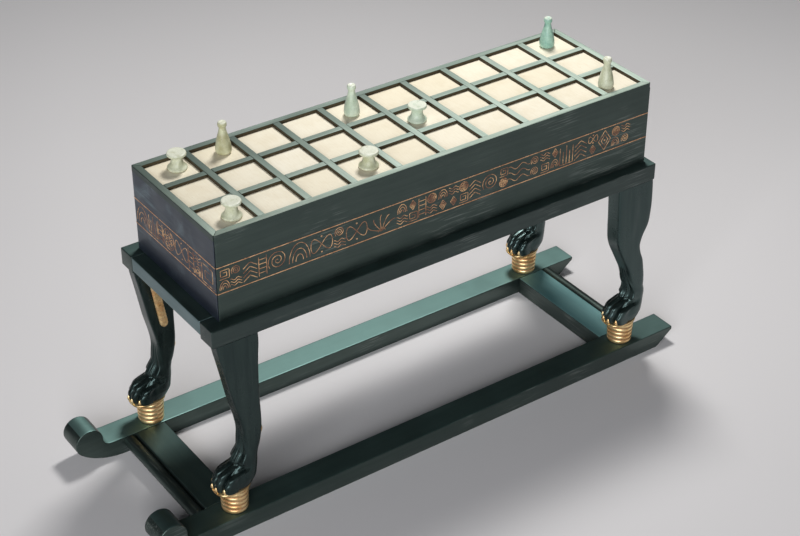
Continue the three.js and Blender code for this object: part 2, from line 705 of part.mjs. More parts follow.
// The knob, a mushroom that seats on the middle of the drawer's front.
function knob() {
  const neck = KNOB_RADIUS / 2;
  return turned([
    [0, SEAT],
    [neck, SEAT],
    [neck * 0.85, KNOB_REACH * 0.45],
    [KNOB_RADIUS, KNOB_REACH * 0.62],
    [KNOB_RADIUS * 0.9, KNOB_REACH * 0.85],
    [neck, KNOB_REACH * 0.97],
    [0, KNOB_REACH],
  ], PIECE_SIDES).rotateY(Math.PI / 2);
}
const drawerKnob = piece('drawer_knob', knob(), ivory);
drawerKnob.position.set(HALF_LENGTH, 0, FACE_HEIGHT / 2);
drawer.add(drawerKnob);
box.add(drawer);

// A tall playing piece: a rounded cone with a slim neck and a flat-topped head.
function cone() {
  const r = CONE_RADIUS;
  const h = CONE_HEIGHT;
  return turned([
    [0, 0],
    [r * 0.84, 0],
    [r, h * 0.1],
    [r * 0.96, h * 0.22],
    [r * 0.82, h * 0.4],
    [r * 0.6, h * 0.58],
    [r * 0.45, h * 0.72],
    [r * 0.43, h * 0.79],
    [r * 0.54, h * 0.85],
    [r * 0.55, h * 0.94],
    [r * 0.42, h],
    [0, h],
  ], PIECE_SIDES);
}

// A short playing piece: a reel with a flat disc on top and a banded foot.
function spool() {
  const r = SPOOL_RADIUS;
  const h = SPOOL_HEIGHT;
  return turned([
    [0, 0],
    [r * 0.96, 0],
    [r, h * 0.08],
    [r * 0.98, h * 0.2],
    [r * 0.7, h * 0.42],
    [r * 0.6, h * 0.62],
    [r * 0.68, h * 0.76],
    [r * 0.94, h * 0.84],
    [r * 0.96, h * 0.97],
    [r * 0.88, h],
    [0, h],
  ], PIECE_SIDES);
}

// Where each piece stands: its square, and how far it is from the square's middle.
const players = [
  { name: 'spool_1', column: 0, row: 2, dx: 6, dy: 2.5, shape: spool, finish: paleFaience },
  { name: 'cone_1', column: 1, row: 2, dx: 6.5, dy: 4, shape: cone, finish: paleFaience },
  { name: 'spool_2', column: 0, row: 0, dx: 4, dy: -3.2, shape: spool, finish: paleFaience },
  { name: 'cone_2', column: 4, row: 2, dx: -2, dy: -2.5, shape: cone, finish: greenFaience },
  { name: 'spool_3', column: 3, row: 0, dx: 4, dy: 0.5, shape: spool, finish: paleFaience },
  { name: 'spool_4', column: 5, row: 1, dx: -6, dy: -0.5, shape: spool, finish: greenFaience },
  { name: 'cone_3', column: 9, row: 2, dx: -1, dy: 4.5, shape: cone, finish: blueFaience },
  { name: 'cone_4', column: 9, row: 0, dx: -9.8, dy: -3.8, shape: cone, finish: paleFaience },
];
for (const { name, column, row, dx, dy, shape, finish } of players) {
  const [x, y] = squareMiddle(column, row);
  const player = piece(name, shape(), finish);
  player.position.set(x + dx, y + dy, SQUARE_TOP + SEAT);
  box.add(player);
}
box.position.set(BOX_X, 0, BOX_FOOT);

const senetBoard = new THREE.Group();
senetBoard.name = 'senet_board';
senetBoard.add(sledge, stand, box);

export default senetBoard;
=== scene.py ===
# %% [markdown]
# # A senet board on a lion-legged stand
# The board is a games box of black wood with thirty ivory squares on top and a drawer inside.
# It lies on a bed frame with four lion legs, and the legs stand on gilded drums on a sledge.
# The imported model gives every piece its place, so this script only has to give each piece its
# fine shape and its finish.

import bpy
import numpy as np
from mathutils import Matrix, Vector


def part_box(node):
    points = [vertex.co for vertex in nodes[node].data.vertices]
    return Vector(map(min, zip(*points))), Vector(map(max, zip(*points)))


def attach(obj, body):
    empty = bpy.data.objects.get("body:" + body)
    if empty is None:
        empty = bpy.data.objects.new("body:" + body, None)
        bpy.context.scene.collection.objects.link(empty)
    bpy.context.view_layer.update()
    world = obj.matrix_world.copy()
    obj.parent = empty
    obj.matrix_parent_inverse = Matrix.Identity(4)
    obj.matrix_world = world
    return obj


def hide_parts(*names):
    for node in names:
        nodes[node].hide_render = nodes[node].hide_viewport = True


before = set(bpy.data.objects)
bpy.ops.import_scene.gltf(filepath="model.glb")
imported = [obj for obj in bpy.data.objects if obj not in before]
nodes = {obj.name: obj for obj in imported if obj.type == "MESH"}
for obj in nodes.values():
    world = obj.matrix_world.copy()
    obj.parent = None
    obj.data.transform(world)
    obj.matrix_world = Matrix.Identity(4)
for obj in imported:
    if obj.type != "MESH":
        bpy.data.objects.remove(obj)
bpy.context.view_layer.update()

# %% [markdown]
# ## Camera
# The photograph looks down on the box from its curled end, to the left of its long side. The
# camera is given by where it stands and by two directions: forward, into the picture, and
# right. The third direction, up, follows from these. A long lens keeps the far end large.

# %% Camera
EYE = Vector((-0.77335, -1.1292, 1.0459))
FORWARD = Vector((0.48093, 0.68357, -0.54904)).normalized()
RIGHT = Vector((0.81844, -0.5746, 0.00151)).normalized()
UP = RIGHT.cross(FORWARD)

camera_data = bpy.data.cameras.new("camera")
camera_data.sensor_width = 36
camera_data.lens = 80.46
camera_data.clip_end = 50
camera = bpy.data.objects.new("camera", camera_data)
bpy.context.scene.collection.objects.link(camera)
turn = Matrix((RIGHT, UP, -FORWARD)).transposed()
camera.matrix_world = Matrix.Translation(EYE) @ turn.to_4x4()
bpy.context.scene.camera = camera
print("camera is", round((EYE - Vector((0, 0, 0.15))).length, 2), "m from the stand's middle")

# %% [markdown]
# ## Shader sums
# A finish is a small sum over the surface, such as "brown, darker where the grain is, paler
# where it is scuffed". Blender builds such sums from nodes. The class below wraps one socket
# so that the sum can be written as a Python expression, and each operator adds its Math node.
# Colours and vectors have nodes of their own, because a Math node would turn them grey.

# %% A socket that takes part in sums
class Shade:
    """A shader socket. Sums of Shades and numbers add Math nodes to the material's tree."""

    def __init__(self, tree, socket):
        self.tree = tree
        self.socket = socket

    def node(self, kind, settings=None, inputs=None, output=0):
        """Adds a node of a kind: first its settings, then the values or links of its sockets."""
        made = self.tree.nodes.new("ShaderNode" + kind)
        for name, value in (settings or {}).items():
            setattr(made, name, value)
        for name, value in (inputs or {}).items():
            if isinstance(value, Shade):
                self.tree.links.new(value.socket, made.inputs[name])
            else:
                made.inputs[name].default_value = value
        return Shade(self.tree, made.outputs[output])

    def sum(self, operation, first, second=0.0):
        """A Math node of any operation, over two numbers or Shades."""
        return self.node("Math", {"operation": operation}, {0: first, 1: second})

    def __add__(self, other):
        return self.sum("ADD", self, other)

    def __sub__(self, other):
        return self.sum("SUBTRACT", self, other)

    def __mul__(self, other):
        return self.sum("MULTIPLY", self, other)

    def __rsub__(self, other):
        return self.sum("SUBTRACT", other, self)

    __radd__ = __add__

    def size(self):
        """The number without its sign."""
        return self.sum("ABSOLUTE", self)

    def between(self, low, high):
        """0 at low, 1 at high, and smooth between them."""
        settings = {"interpolation_type": "SMOOTHSTEP"}
        return self.node("MapRange", settings, {"Value": self, "From Min": low, "From Max": high})

    def scaled(self, across):
        """A vector, stretched: each of its three numbers times one of across."""
        settings = {"operation": "MULTIPLY"}
        return self.node("VectorMath", settings, {0: self, 1: across})

    def noise(self, scale, detail=3.0, roughness=0.5, distortion=0.0):
        """Cloudy noise from 0 to 1, read at this vector."""
        return self.node("TexNoise", None, {
            "Vector": self, "Scale": scale, "Detail": detail, "Roughness": roughness,
            "Distortion": distortion,
        })

    def part(self, axis):
        """The X, Y or Z number of a vector."""
        return self.node("SeparateXYZ", None, {0: self}, "XYZ".index(axis))

    def blend(self, *ends):
        """The first colour where this is 0 and the second where it is 1, both linear."""
        first, second = (end if isinstance(end, Shade) else (*end, 1.0) for end in ends)
        settings = {"data_type": "RGBA"}
        return self.node("Mix", settings, {0: self, 6: first, 7: second}, 2)


print("sums such as 1 - mask * 0.5 now make nodes")

# %% One way to start and end a finish
def finish(name, make, **fixed):
    """A material. make(place) gives what changes over the surface, and fixed sets constants."""
    material = bpy.data.materials.new(name)
    material.use_nodes = True
    tree = material.node_tree
    shader = tree.nodes["Principled BSDF"]
    for socket, value in fixed.items():
        shader.inputs[socket.replace("_", " ")].default_value = value
    coordinates = tree.nodes.new("ShaderNodeTexCoord")
    place = Shade(tree, coordinates.outputs["Object"])
    for socket, value in make(place).items():
        tree.links.new(value.socket, shader.inputs[socket])
    return material


def relief(height, depth, strength=1.0):
    """A bump from a height of 0 to 1 that stands for a real depth in metres."""
    return height.node("Bump", None, {"Strength": strength, "Distance": depth, "Height": height})


print("a finish is made by finish(name, make)")

# %% [markdown]
# ## Floor and light
# The photograph was taken on a pale grey sweep of paper. A large plane is the floor, and the
# camera sees a world of much the same grey behind it. The floor is a little paler far from the
# board: painted light, where the near lamps light it less. A small lamp hangs near the board's far
# corner: it draws the shadows, and the tops of the black wood mirror it as a green-blue sheen. A
# wide, dim lamp stands on the left, in front of the board, and keeps the shadows grey.

# %% Floor
def floor_look(place):
    """Cloudy grey near the board that turns paler with distance from it, as painted light where
    the lamps light the floor less.
    """
    clouds = place.noise(1.6, detail=2.0)
    near = clouds.blend((0.70, 0.69, 0.70), (0.78, 0.765, 0.775))
    # Painted light: the floor turns paler with distance, making up for the near lamps' falloff.
    distance = place.node("VectorMath", {"operation": "LENGTH"}, {0: place}, 1)
    return {"Base Color": distance.between(0.3, 1.6).blend(near, (0.95, 0.94, 0.95))}


paper = finish("paper", floor_look, Roughness=0.9)
floor_mesh = bpy.data.meshes.new("floor")
FLOOR_HALF = 12.0
corners = [(x * FLOOR_HALF, y * FLOOR_HALF, 0) for x, y in ((-1, -1), (1, -1), (1, 1), (-1, 1))]
floor_mesh.from_pydata(corners, [], [(0, 1, 2, 3)])
floor = bpy.data.objects.new("floor", floor_mesh)
floor_mesh.materials.append(paper)
bpy.context.scene.collection.objects.link(floor)
print("floor is", 2 * FLOOR_HALF, "m across")

# %% Lamps and world
MIDDLE = Vector((0, 0, 0.15))


def lamp(name, place, width, height, power, tint):
    """A softbox at a place in metres that looks at the middle of the board."""
    light = bpy.data.lights.new(name, "AREA")
    light.shape = "RECTANGLE"
    light.size, light.size_y = width, height
    light.energy = power
    light.color = tint
    holder = bpy.data.objects.new(name, light)
    bpy.context.scene.collection.objects.link(holder)
    facing = (Vector(place) - MIDDLE).to_track_quat("Z", "Y").to_matrix().to_4x4()
    holder.matrix_world = Matrix.Translation(place) @ facing


lamp("key", (0.34, 0.34, 1.08), 0.22, 0.22, 8.9, (1.0, 0.985, 0.96))
lamp("fill", (-2.06, -2.13, 1.3), 2.2, 1.6, 84, (0.97, 0.98, 1.0))

world = bpy.data.worlds.new("studio")
world.use_nodes = True
sky = Shade(world.node_tree, world.node_tree.nodes["Background"].outputs[0])
seen = sky.node("LightPath")
shade = seen.blend((0.034, 0.034, 0.037), (0.56, 0.55, 0.56))
world.node_tree.links.new(shade.socket, world.node_tree.nodes["Background"].inputs["Color"])
bpy.context.scene.world = world
bpy.context.scene.view_settings.view_transform = "Standard"
print("two lamps and a pale world")

# %% [markdown]
# ## Shapes from arrays
# Every new piece is worked out as an array of points in millimetres. Most are a stack of rings
# with quads between neighbouring rings, because rings describe bars, drums, legs and turned
# pieces alike. A closed skin has a volume, and its sign says whether the faces look outwards.

# %% Rings to a closed skin
def circle(count):
    """Angles evenly round a circle, from 0."""
    return np.linspace(0, 2 * np.pi, count, endpoint=False)


def stacked(*numbers):
    """Points from arrays of each of their numbers: a row and a column make a whole grid."""
    return np.stack(np.broadcast_arrays(*numbers), axis=-1)


def loft(rings):
    """Points and faces through rings[k, i], point i of ring k, with one flat face at each end."""
    count, around = rings.shape[:2]
    here = np.arange(count * around).reshape(count, around)
    beside = np.roll(here, -1, axis=1)
    quads = np.stack([here[:-1], beside[:-1], beside[1:], here[1:]], axis=-1).reshape(-1, 4)
    points = rings.reshape(-1, 3)
    a, b, c, d = (points[quads[:, i]] for i in range(4))
    middle = points.mean(axis=0)
    swept = np.cross(c - a, d - b)
    outward = (swept * ((a + b + c + d) / 4 - middle)).sum() > 0
    faces = quads.tolist() + [here[0][::-1].tolist(), here[-1].tolist()]
    if not outward:
        faces = [face[::-1] for face in faces]
    return points, faces


def together(parts):
    """Several (points, faces) as one."""
    faces, start = [], 0
    for points, part_faces in parts:
        faces += [[start + i for i in face] for face in part_faces]
        start += len(points)
    return np.vstack([points for points, _ in parts]), faces


can = loft(stacked(np.cos(circle(6)), np.sin(circle(6)), np.array([[0], [1]])))
print("a can of six sides has", len(can[1]), "faces")

# %% A finished piece
MILLIMETRE = 0.001
CREASE = np.radians(50)
UPWARDS = 0.8


def piece(name, part, body, material, replaced, top=None):
    """Makes an object of (points, faces), with its finish, its body and the nodes it is for.

    A second finish, if given, goes on the faces that look upwards.
    """
    points, faces = part
    mesh = bpy.data.meshes.new(name)
    mesh.from_pydata((points * MILLIMETRE).tolist(), [], faces)
    mesh.polygons.foreach_set("use_smooth", [len(face) <= 4 for face in faces])
    mesh.set_sharp_from_angle(angle=CREASE)
    mesh.materials.append(material)
    if top:
        mesh.materials.append(top)
        normal = np.zeros(len(faces) * 3)
        mesh.polygons.foreach_get("normal", normal)
        mesh.polygons.foreach_set("material_index", (normal[2::3] > UPWARDS).astype(np.int32))
    made = bpy.data.objects.new(name, mesh)
    bpy.context.scene.collection.objects.link(made)
    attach(made, body)
    if replaced:
        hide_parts(*replaced)
    return made


print("edges sharper than", round(np.degrees(CREASE)), "degrees stay creased")

# %% Outlines with rounded corners
def rounded(corners, radius):
    """An outline whose sharp corners are eased, while its gentle bends stay as they are.

    A corner P that turns by more than 15 degrees becomes a curve (1-s)^2 A + 2s(1-s) P + s^2 B
    between a point A before it and a point B after it, as far from P as a circle of that radius
    would touch. One more point on each side keeps the flats next to the curve flat.
    """
    before = np.roll(corners, 1, axis=0) - corners
    after = np.roll(corners, -1, axis=0) - corners
    before /= np.linalg.norm(before, axis=1, keepdims=True)
    after /= np.linalg.norm(after, axis=1, keepdims=True)
    cosine = np.clip((before * after).sum(axis=1), -0.9999, 0.9999)
    sharp = cosine > -np.cos(np.radians(15))
    touch = np.where(sharp, radius / np.tan(np.arccos(cosine) / 2), 0)[:, None, None]
    s = np.array([0, 0, 0.25, 0.5, 0.75, 1, 1])[None, :, None]
    held = np.array([1, 0, 0, 0, 0, 0, 0])[None, :, None]
    curve = corners[:, None] + touch * (
        ((1 - s) ** 2 + held) * before[:, None] + (s ** 2 + held[:, ::-1]) * after[:, None])
    kept = sharp[:, None] | (np.arange(7) == 3)[None, :]
    return curve[kept]


def inset(outline, by):
    """The outline moved inwards: every point goes along the normal of its neighbours' chord."""
    chord = np.roll(outline, -1, axis=0) - np.roll(outline, 1, axis=0)
    normal = stacked(-chord[:, 1], chord[:, 0])
    return outline + by * normal / np.linalg.norm(normal, axis=1, keepdims=True)


square = np.array([(0, 0), (9, 0), (9, 9), (0, 9)], float)
print("a square with rounded corners has", len(rounded(square, 1.0)), "points")

# %% Bars along an axis
ACROSS = {"X": "YZ", "Y": "ZX", "Z": "XY"}


def bar(corners, low, high, edge, axis, seam=None):
    """A bar along an axis over a counter-clockwise outline of its section, edges rounded.

    At an angle t from 0 to 90 degrees the end's ring lies edge * (1 - sin t) inside the end and
    is inset by edge * (1 - cos t). seam is "low" or "high" where that end meets another timber
    in a tight joint, and is hardly rounded.
    """
    outline = rounded(np.array(corners, float), 1.3 * edge)
    turn = np.radians([90, 67, 45, 22, 0, 0])
    drawn_in = 1 - np.cos(turn)
    depth = 1 - np.sin(turn)
    depth[-1] *= 2
    tight = {"low": (0.12, 1), "high": (1, 0.12)}.get(seam, (1, 1))
    places = np.concatenate([low + edge * tight[0] * depth, high - edge * tight[1] * depth[::-1]])
    insets = edge * np.concatenate([tight[0] * drawn_in, tight[1] * drawn_in[::-1]])
    first, second = ("XYZ".index(other) for other in ACROSS[axis])
    rings = np.empty((len(places), len(outline), 3))
    rings[..., "XYZ".index(axis)] = places[:, None]
    flat = np.stack([inset(outline, by) for by in insets])
    rings[..., first], rings[..., second] = flat[..., 0], flat[..., 1]
    return loft(rings)


def plank(x, y, z, edge, axis):
    """A rectangular bar between two values on each axis."""
    ends = {"X": x, "Y": y, "Z": z}
    (a0, a1), (b0, b1) = (ends[other] for other in ACROSS[axis])
    return bar([(a0, b0), (a1, b0), (a1, b1), (a0, b1)], *ends[axis], edge, axis)


print("a bar is", len(plank((0, 9), (0, 2), (0, 2), 0.5, "X")[0]), "points")

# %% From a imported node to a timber
def extent(node):
    """A node's box as three (low, high) pairs in millimetres."""
    low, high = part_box(node)
    return [(low[i] * 1000, high[i] * 1000) for i in range(3)]


def timber(node, part, wood, top=None, body="stand"):
    """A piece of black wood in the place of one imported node."""
    return piece(node + "_timber", part, body, wood, [node], top)


print("the lattice is", [round(high - low, 1) for low, high in extent("lattice")], "mm")

# %% [markdown]
# ## Black wood
# The board is made of hard black wood, oiled and worn for a long time. Up close it is not one
# colour: fine streaks run along the grain, pores catch the light, and broad clouds of handling
# make it a little paler and duller. The grain follows each timber, so the noise is stretched along
# it. How much the wood mirrors, and in which tint, differs from place to place: the tops shine
# green-blue and the upright faces are nearly black. Some light is also painted into the colour: a
# pale sheen on the worn bars on top, a green-blue sheen on the tail's cross board, a paler face on
# the head's end rail, a blue tint on the box's head end, and warm bounce light on the walls inside
# the squares.

# %% Ebony
GRAIN = 0.045


def ebony_look(axis, gloss=0.33, dark=(0.004, 0.007, 0.007), light=(0.012, 0.018, 0.016),
               dust=(0.075, 0.09, 0.08), worn_share=0.35, scratched=0.0, smeared=0.0):
    """Streaks along one axis, broad clouds, pores, dusty worn places and fine pale scratches.

    The gloss is the least roughness. Each tone is a linear colour, and worn_share, scratched and
    smeared say how much of the dust the worn places, scratches and cloudy smears take on.
    """
    stretch = [GRAIN if axis == other else 1.0 for other in "XYZ"]

    def look(place):
        along = place.scaled(tuple(stretch))
        streaks = along.noise(260, detail=4.0, roughness=0.6, distortion=0.4)
        pores = along.noise(1500, detail=2.0, roughness=0.6)
        clouds = place.noise(28, roughness=0.55)
        worn = along.noise(95, detail=6.0, roughness=0.75).between(0.56, 0.74)
        worn = worn * clouds.between(0.4, 0.65)
        hands = place.noise(15, detail=2.0).between(0.5, 0.68)
        fine = place.scaled(tuple(0.4 * share for share in stretch)).noise(2200)
        scratches = fine.between(0.52, 0.66) * hands * scratched
        wood = streaks.between(0.3, 0.72).blend(dark, light)
        smears = place.noise(33, detail=5.0, roughness=0.6, distortion=0.8).between(0.54, 0.72)
        dusty = (worn * worn_share + scratches + smears * smeared).blend(wood, dust)
        shine = gloss + clouds.between(0.3, 0.7) * 0.12 + worn * 0.15 + pores * 0.06
        height = streaks * 0.5 + pores * 0.5
        return {"Base Color": dusty, "Roughness": shine, "Normal": relief(height, 0.00012, 0.7)}

    return look


print("streaks are", round(1 / GRAIN), "times as long as they are wide")

# %% Worn and scratched ebony, with a painted sheen
def rim_look(axis):
    """Black wood with worn places and a painted sheen, paler most of all at the front and towards
    the drawer's end.
    """
    wood = ebony_look(axis, 0.48, (0.018, 0.034, 0.027), (0.032, 0.05, 0.04),
                      (0.13, 0.15, 0.12), worn_share=0.8)
    painted_lit = ebony_look(axis, 0.5, (0.28, 0.36, 0.30), (0.45, 0.53, 0.46),
                      (0.58, 0.62, 0.54), worn_share=0.8)

    def look(place):
        dark, pale = wood(place), painted_lit(place)
        # Painted sheen: towards the front and the drawer's end the colour turns pale, where the
        # lamp's reflection lies on the bars.
        way = place.part("X") - place.part("Y") * 3.0 + place.noise(40, detail=4.0) * 0.16
        blend_share = way.between(-0.26, 0.36)
        return {"Base Color": blend_share.blend(dark["Base Color"], pale["Base Color"]),
                "Roughness": dark["Roughness"], "Normal": dark["Normal"]}

    return look


def ebony_finish(name, look, index, sheen=(0.6, 1.0, 0.94)):
    """Black wood. The index says how strongly it mirrors, and the sheen in what tint."""
    return finish("ebony_" + name, look, IOR=index, Specular_Tint=(*sheen, 1.0))


print("rim_look(axis) mixes a dark and a pale wood")

# %% Every finish of black wood
SCRATCHES = {"dust": (0.14, 0.155, 0.145), "scratched": 0.6}
ebony, ebony_ledge, ebony_rim = {}, {}, {}
for axis in "XY":
    grain = axis.lower()
    ebony[axis] = ebony_finish(grain, ebony_look(axis, **SCRATCHES), 1.8, (0.74, 1.0, 0.90))
    ebony_ledge[axis] = ebony_finish("ledge_" + grain, ebony_look(axis, 0.42), 2.0)
    ebony_rim[axis] = ebony_finish("rim_" + grain, rim_look(axis), 1.85, (0.8, 1.0, 0.9))
carved_ebony = {
    kind: ebony_finish("carved_" + kind, ebony_look("Z", 0.2), index, (0.66, 0.97, 0.95))
    for kind, index in (("foreleg", 1.5), ("hindleg", 1.72))}
# Painted reflection: the box's head end gets a dark blue tint in its colour and its sheen; the
# cloudy smears on it are marks.
head_ebony_painted_tint = ebony_finish("head", ebony_look(
    "Y", 0.3, (0.006, 0.007, 0.014), (0.014, 0.018, 0.030), (0.13, 0.18, 0.20),
    worn_share=0.8, scratched=0.35, smeared=0.4), 1.8, (0.72, 0.88, 1.0))
# Painted light: the head's end rail gets a grey-green base, many times paler than black wood, for
# the light on its outer face.
end_rail_painted_light = ebony_finish("end", ebony_look(
    "Y", 0.34, (0.045, 0.07, 0.073), (0.065, 0.092, 0.092), (0.18, 0.23, 0.23),
    worn_share=0.8, scratched=0.3, smeared=0.3), 2.3, (0.68, 0.94, 1.0))
side_ebony = ebony_finish("side", ebony_look("X", **SCRATCHES), 1.66, (0.72, 0.96, 0.92))
back_runner_top = ebony_finish("top_x", ebony_look("X", 0.47), 3.6)
front_runner_top = ebony_finish("runner_top", ebony_look("X", 0.44), 2.35)
# Painted sheen: the tail's cross board has a green-blue base, many times paler than black wood,
# for the lamp's reflection on its top.
board_top_painted_sheen = ebony_finish("board_top_painted_sheen", ebony_look(
    "Y", 0.47, (0.045, 0.14, 0.153), (0.072, 0.175, 0.183), (0.13, 0.22, 0.22)),
    3.8, (0.6, 1.0, 0.98))
# Painted bounce light: the walls inside the squares get a dull warm brown for the light the ivory
# throws onto them.
painted_bounce_ebony = finish("ebony_painted_bounce", lambda place: {
    "Base Color": place.noise(300).blend((0.035, 0.027, 0.014), (0.07, 0.055, 0.03))},
    Roughness=0.6, IOR=1.3)
print("ebony with its grain along", ", ".join(ebony), "and of single places")

# %% [markdown]
# ## Sledge and bed frame
# The stand is joinery: two curled runners with boards and rods between them, and a frame of four
# rails. Real timbers never have sharp edges, and a small rounding is what catches the light, so
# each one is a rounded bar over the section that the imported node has.

# %% Runners
EDGE = 0.9
RUNNER_DEPTH = 18
CURL_RADIUS = 13.5
CURL_SWEEP = 36
EASE = 0.6
TAIL_LIP = 3.5
TAIL_BEVEL = 19
SIDES = {"front": -1, "back": 1}


def runner_outline():
    """The runner from the side, counter-clockwise as (z, x) pairs.

    The curl is an arc about a point one radius under the node's top. Bezier curves ease it into
    the straight bar, whose tail is bevelled from below.
    """
    (head, tail), _, (foot, top) = extent("runner_front")
    lead = EASE * CURL_RADIUS
    middle = np.array([head + CURL_RADIUS, top - CURL_RADIUS])
    straight = middle[0] + CURL_SWEEP
    arc = np.radians(np.linspace(225, -6, 27))[:, None]
    curl = middle + CURL_RADIUS * np.hstack([np.cos(arc), np.sin(arc)])
    s = np.linspace(0, 1, 12)[:, None]

    def curve(a, b, c, d):
        return (1 - s) ** 3 * a + 3 * s * (1 - s) ** 2 * b + 3 * s ** 2 * (1 - s) * c + s ** 3 * d

    below = curve(np.array([straight, foot]), np.array([straight - EASE * CURL_SWEEP, foot]),
                  curl[0] + (lead, -lead), curl[0])
    deck = foot + RUNNER_DEPTH
    over = curve(curl[-1], curl[-1] + (0, -lead), np.array([curl[-1][0] + lead, deck]),
                 np.array([straight, deck]))
    bevel = [(tail, deck), (tail, deck - TAIL_LIP), (tail - TAIL_BEVEL, foot)]
    outline = np.vstack([bevel, below[:-1], curl, over[1:]])
    return outline[::-1, ::-1]


def clockwise(outline):
    """Whether an outline's signed area is negative."""
    x, y = outline.T
    return (x * np.roll(y, -1) - y * np.roll(x, -1)).sum() < 0


runner_side = runner_outline()
if clockwise(runner_side):
    runner_side = runner_side[::-1]
for side, over in (("front", front_runner_top), ("back", back_runner_top)):
    node = "runner_" + side
    _, (y0, y1), _ = extent(node)
    timber(node, bar(runner_side, y0, y1, EDGE, "Y"), ebony["X"], over)
print("runner outline has", len(runner_side), "points")

# %% Cross boards, rods and rails
SOCKET = 6.2
TENON = 10.2
for end, over in (("head", ebony_ledge["Y"]), ("tail", board_top_painted_sheen)):
    x, (y0, y1), z = extent("cross_board_" + end)
    board = plank(x, (y0 + TENON, y1 - TENON), z, EDGE, "Y")
    timber("cross_board_" + end, board, ebony["Y"], over)
    (x0, x1), (y0, y1), (z0, z1) = extent("cross_rod_" + end)
    turn, radius = circle(28), (x1 - x0) / 2
    rod = stacked((z0 + z1) / 2 + radius * np.cos(turn), (x0 + x1) / 2 + radius * np.sin(turn))
    timber("cross_rod_" + end, bar(rod, y0 + SOCKET, y1 - SOCKET, 0.4, "Y"), ebony["Y"])

RAIL_TENON = 12.1
for node, axis in (("side_rail_front", "X"), ("side_rail_back", "X"),
                   ("end_rail_head", "Y"), ("end_rail_tail", "Y")):
    x, (y0, y1), z = extent(node)
    if axis == "Y":
        y0, y1 = y0 + RAIL_TENON, y1 - RAIL_TENON
    sides = {"end_rail_head": end_rail_painted_light, "side_rail_front": side_ebony}.get(node, ebony[axis])
    timber(node, plank(x, (y0, y1), z, EDGE, axis), sides, ebony_ledge[axis])
print("stand has its timbers")

# %% [markdown]
# ## Lion legs
# The carved legs are the board's finest work: four toes with deep grooves between them, tendons
# that fan over the instep, a slim ankle, and a shank that becomes a flat board at the top. At
# every height a leg's section is star-shaped, so one number tells all: how far the surface lies
# from the middle in each direction. The pad and each toe give such a distance, and the surface
# is the largest of them, softened where they meet.

# %% Places of the legs
DRUM_Y = 76.0
PAW_FOOT = 44.25
PAW = 34.0
LEG = 147.6
ANKLE_HALF = 9.5
OUTSIDE = 2.0
OVAL, BOARD = 2.5, 12.0
STATIONS = {"foreleg": -207.25, "hindleg": 232.25}
THICKNESS = {"foreleg": 13.0, "hindleg": 18.0}

# Height as a share, then the front edge and the back edge from the drum's axis.
PAW_EDGES = np.array([(0, -13, 14, 12.6), (0.22, -14, 20, 13.0), (0.45, -6.5, 21.5, 12.0),
                      (0.62, -1.6, 22.3, 10.8), (0.82, 2.8, 22.7, 10.2)])
SHANK_EDGES = {
    "foreleg": np.array([(0, 6.6, 24), (0.13, 8.6, 26.6), (0.5, 1.4, 27.5), (0.8, -5, 29.5),
                         (0.93, -8, 31), (1, -9, 31)]),
    "hindleg": np.array([(0, 3.0, 21.5), (0.1, 0.8, 20.2), (0.18, -1.2, 18.8),
                         (0.26, -5, 17.4), (0.34, -9, 14.2), (0.41, -12.5, 13),
                         (0.49, -15.2, 15.8), (0.59, -15.8, 22.3), (0.7, -15.6, 25),
                         (0.88, -15.5, 26.5), (1, -15.5, 26.5)]),
}
# Of each foot: the kind of leg, its name, and where its drum's axis stands.
FEET = [(kind, kind + "_" + side, x, sign)
        for kind, x in STATIONS.items() for side, sign in SIDES.items()]

# The toes' middles across the paw, their tips, and the heights of their tops.
TOE_PITCH = 6.5
TOES = (np.arange(4) - 1.5) * TOE_PITCH
TOE_TIPS = 2.2 * (TOES / TOE_PITCH) ** 2 - 20
TOE_TOPS = 22.6 - 1.9 * (TOES / TOE_PITCH) ** 2
TOE_LENGTH = 20.0
TOE_WIDTH = 3.75
TOE_NOSE = 5.4
TOE_BLUNT = 0.36
TOE_BACK = 6


def smooth_curve(places, values, at):
    """A cubic through knots, with each knot's slope that of the chord between its neighbours."""
    slopes = np.gradient(values, places)
    i = np.clip(np.searchsorted(places, at, side="right") - 1, 0, len(places) - 2)
    span = places[i + 1] - places[i]
    t = (at - places[i]) / span
    rise = values[i + 1] - values[i]
    early, late = slopes[i] * span, slopes[i + 1] * span
    bend, twist = 3 * rise - 2 * early - late, early + late - 2 * rise
    return values[i] + t * (early + t * (bend + t * twist))


print("toe tips at", TOE_TIPS)

# %% The edges of a leg
def edges(kind, z):
    """Front edge, back edge, half width, middle and squareness of the leg at each height z.

    The squareness rises from that of the oval paw to that of the board at the top.
    """
    shank = SHANK_EDGES[kind]
    thickness = THICKNESS[kind]
    shares = PAW_EDGES[:, 0] * PAW
    rises = PAW + shank[:, 0] * (LEG - PAW)
    knots = np.concatenate([shares, rises])
    front = smooth_curve(knots, np.concatenate([PAW_EDGES[:, 1], shank[:, 1]]), z)
    back = smooth_curve(knots, np.concatenate([PAW_EDGES[:, 2], shank[:, 2]]), z)
    up = np.clip((z - PAW) / (LEG - PAW), 0, 1)
    low = np.interp(z, [*shares, PAW], [*PAW_EDGES[:, 3], ANKLE_HALF])
    half = np.where(z < PAW, low, ANKLE_HALF + (thickness / 2 - ANKLE_HALF) * up)
    squareness = OVAL + (BOARD - OVAL) * up * (2 - up)
    return front, back, half, (OUTSIDE - thickness / 2) * up, squareness


def merged(a, b, softness):
    """The larger of two distances, rounded where they differ by less than the softness."""
    near = np.maximum(softness - np.abs(a - b), 0) / softness
    return np.maximum(a, b) + near ** 2 * softness / 4


def bump_at(value, middle, width):
    """1 at the middle, falling off like a bell of that width."""
    return np.exp(-((value - middle) / width) ** 2)


print("an ankle is", 2 * edges("foreleg", np.array([PAW]))[2][0], "mm thick")

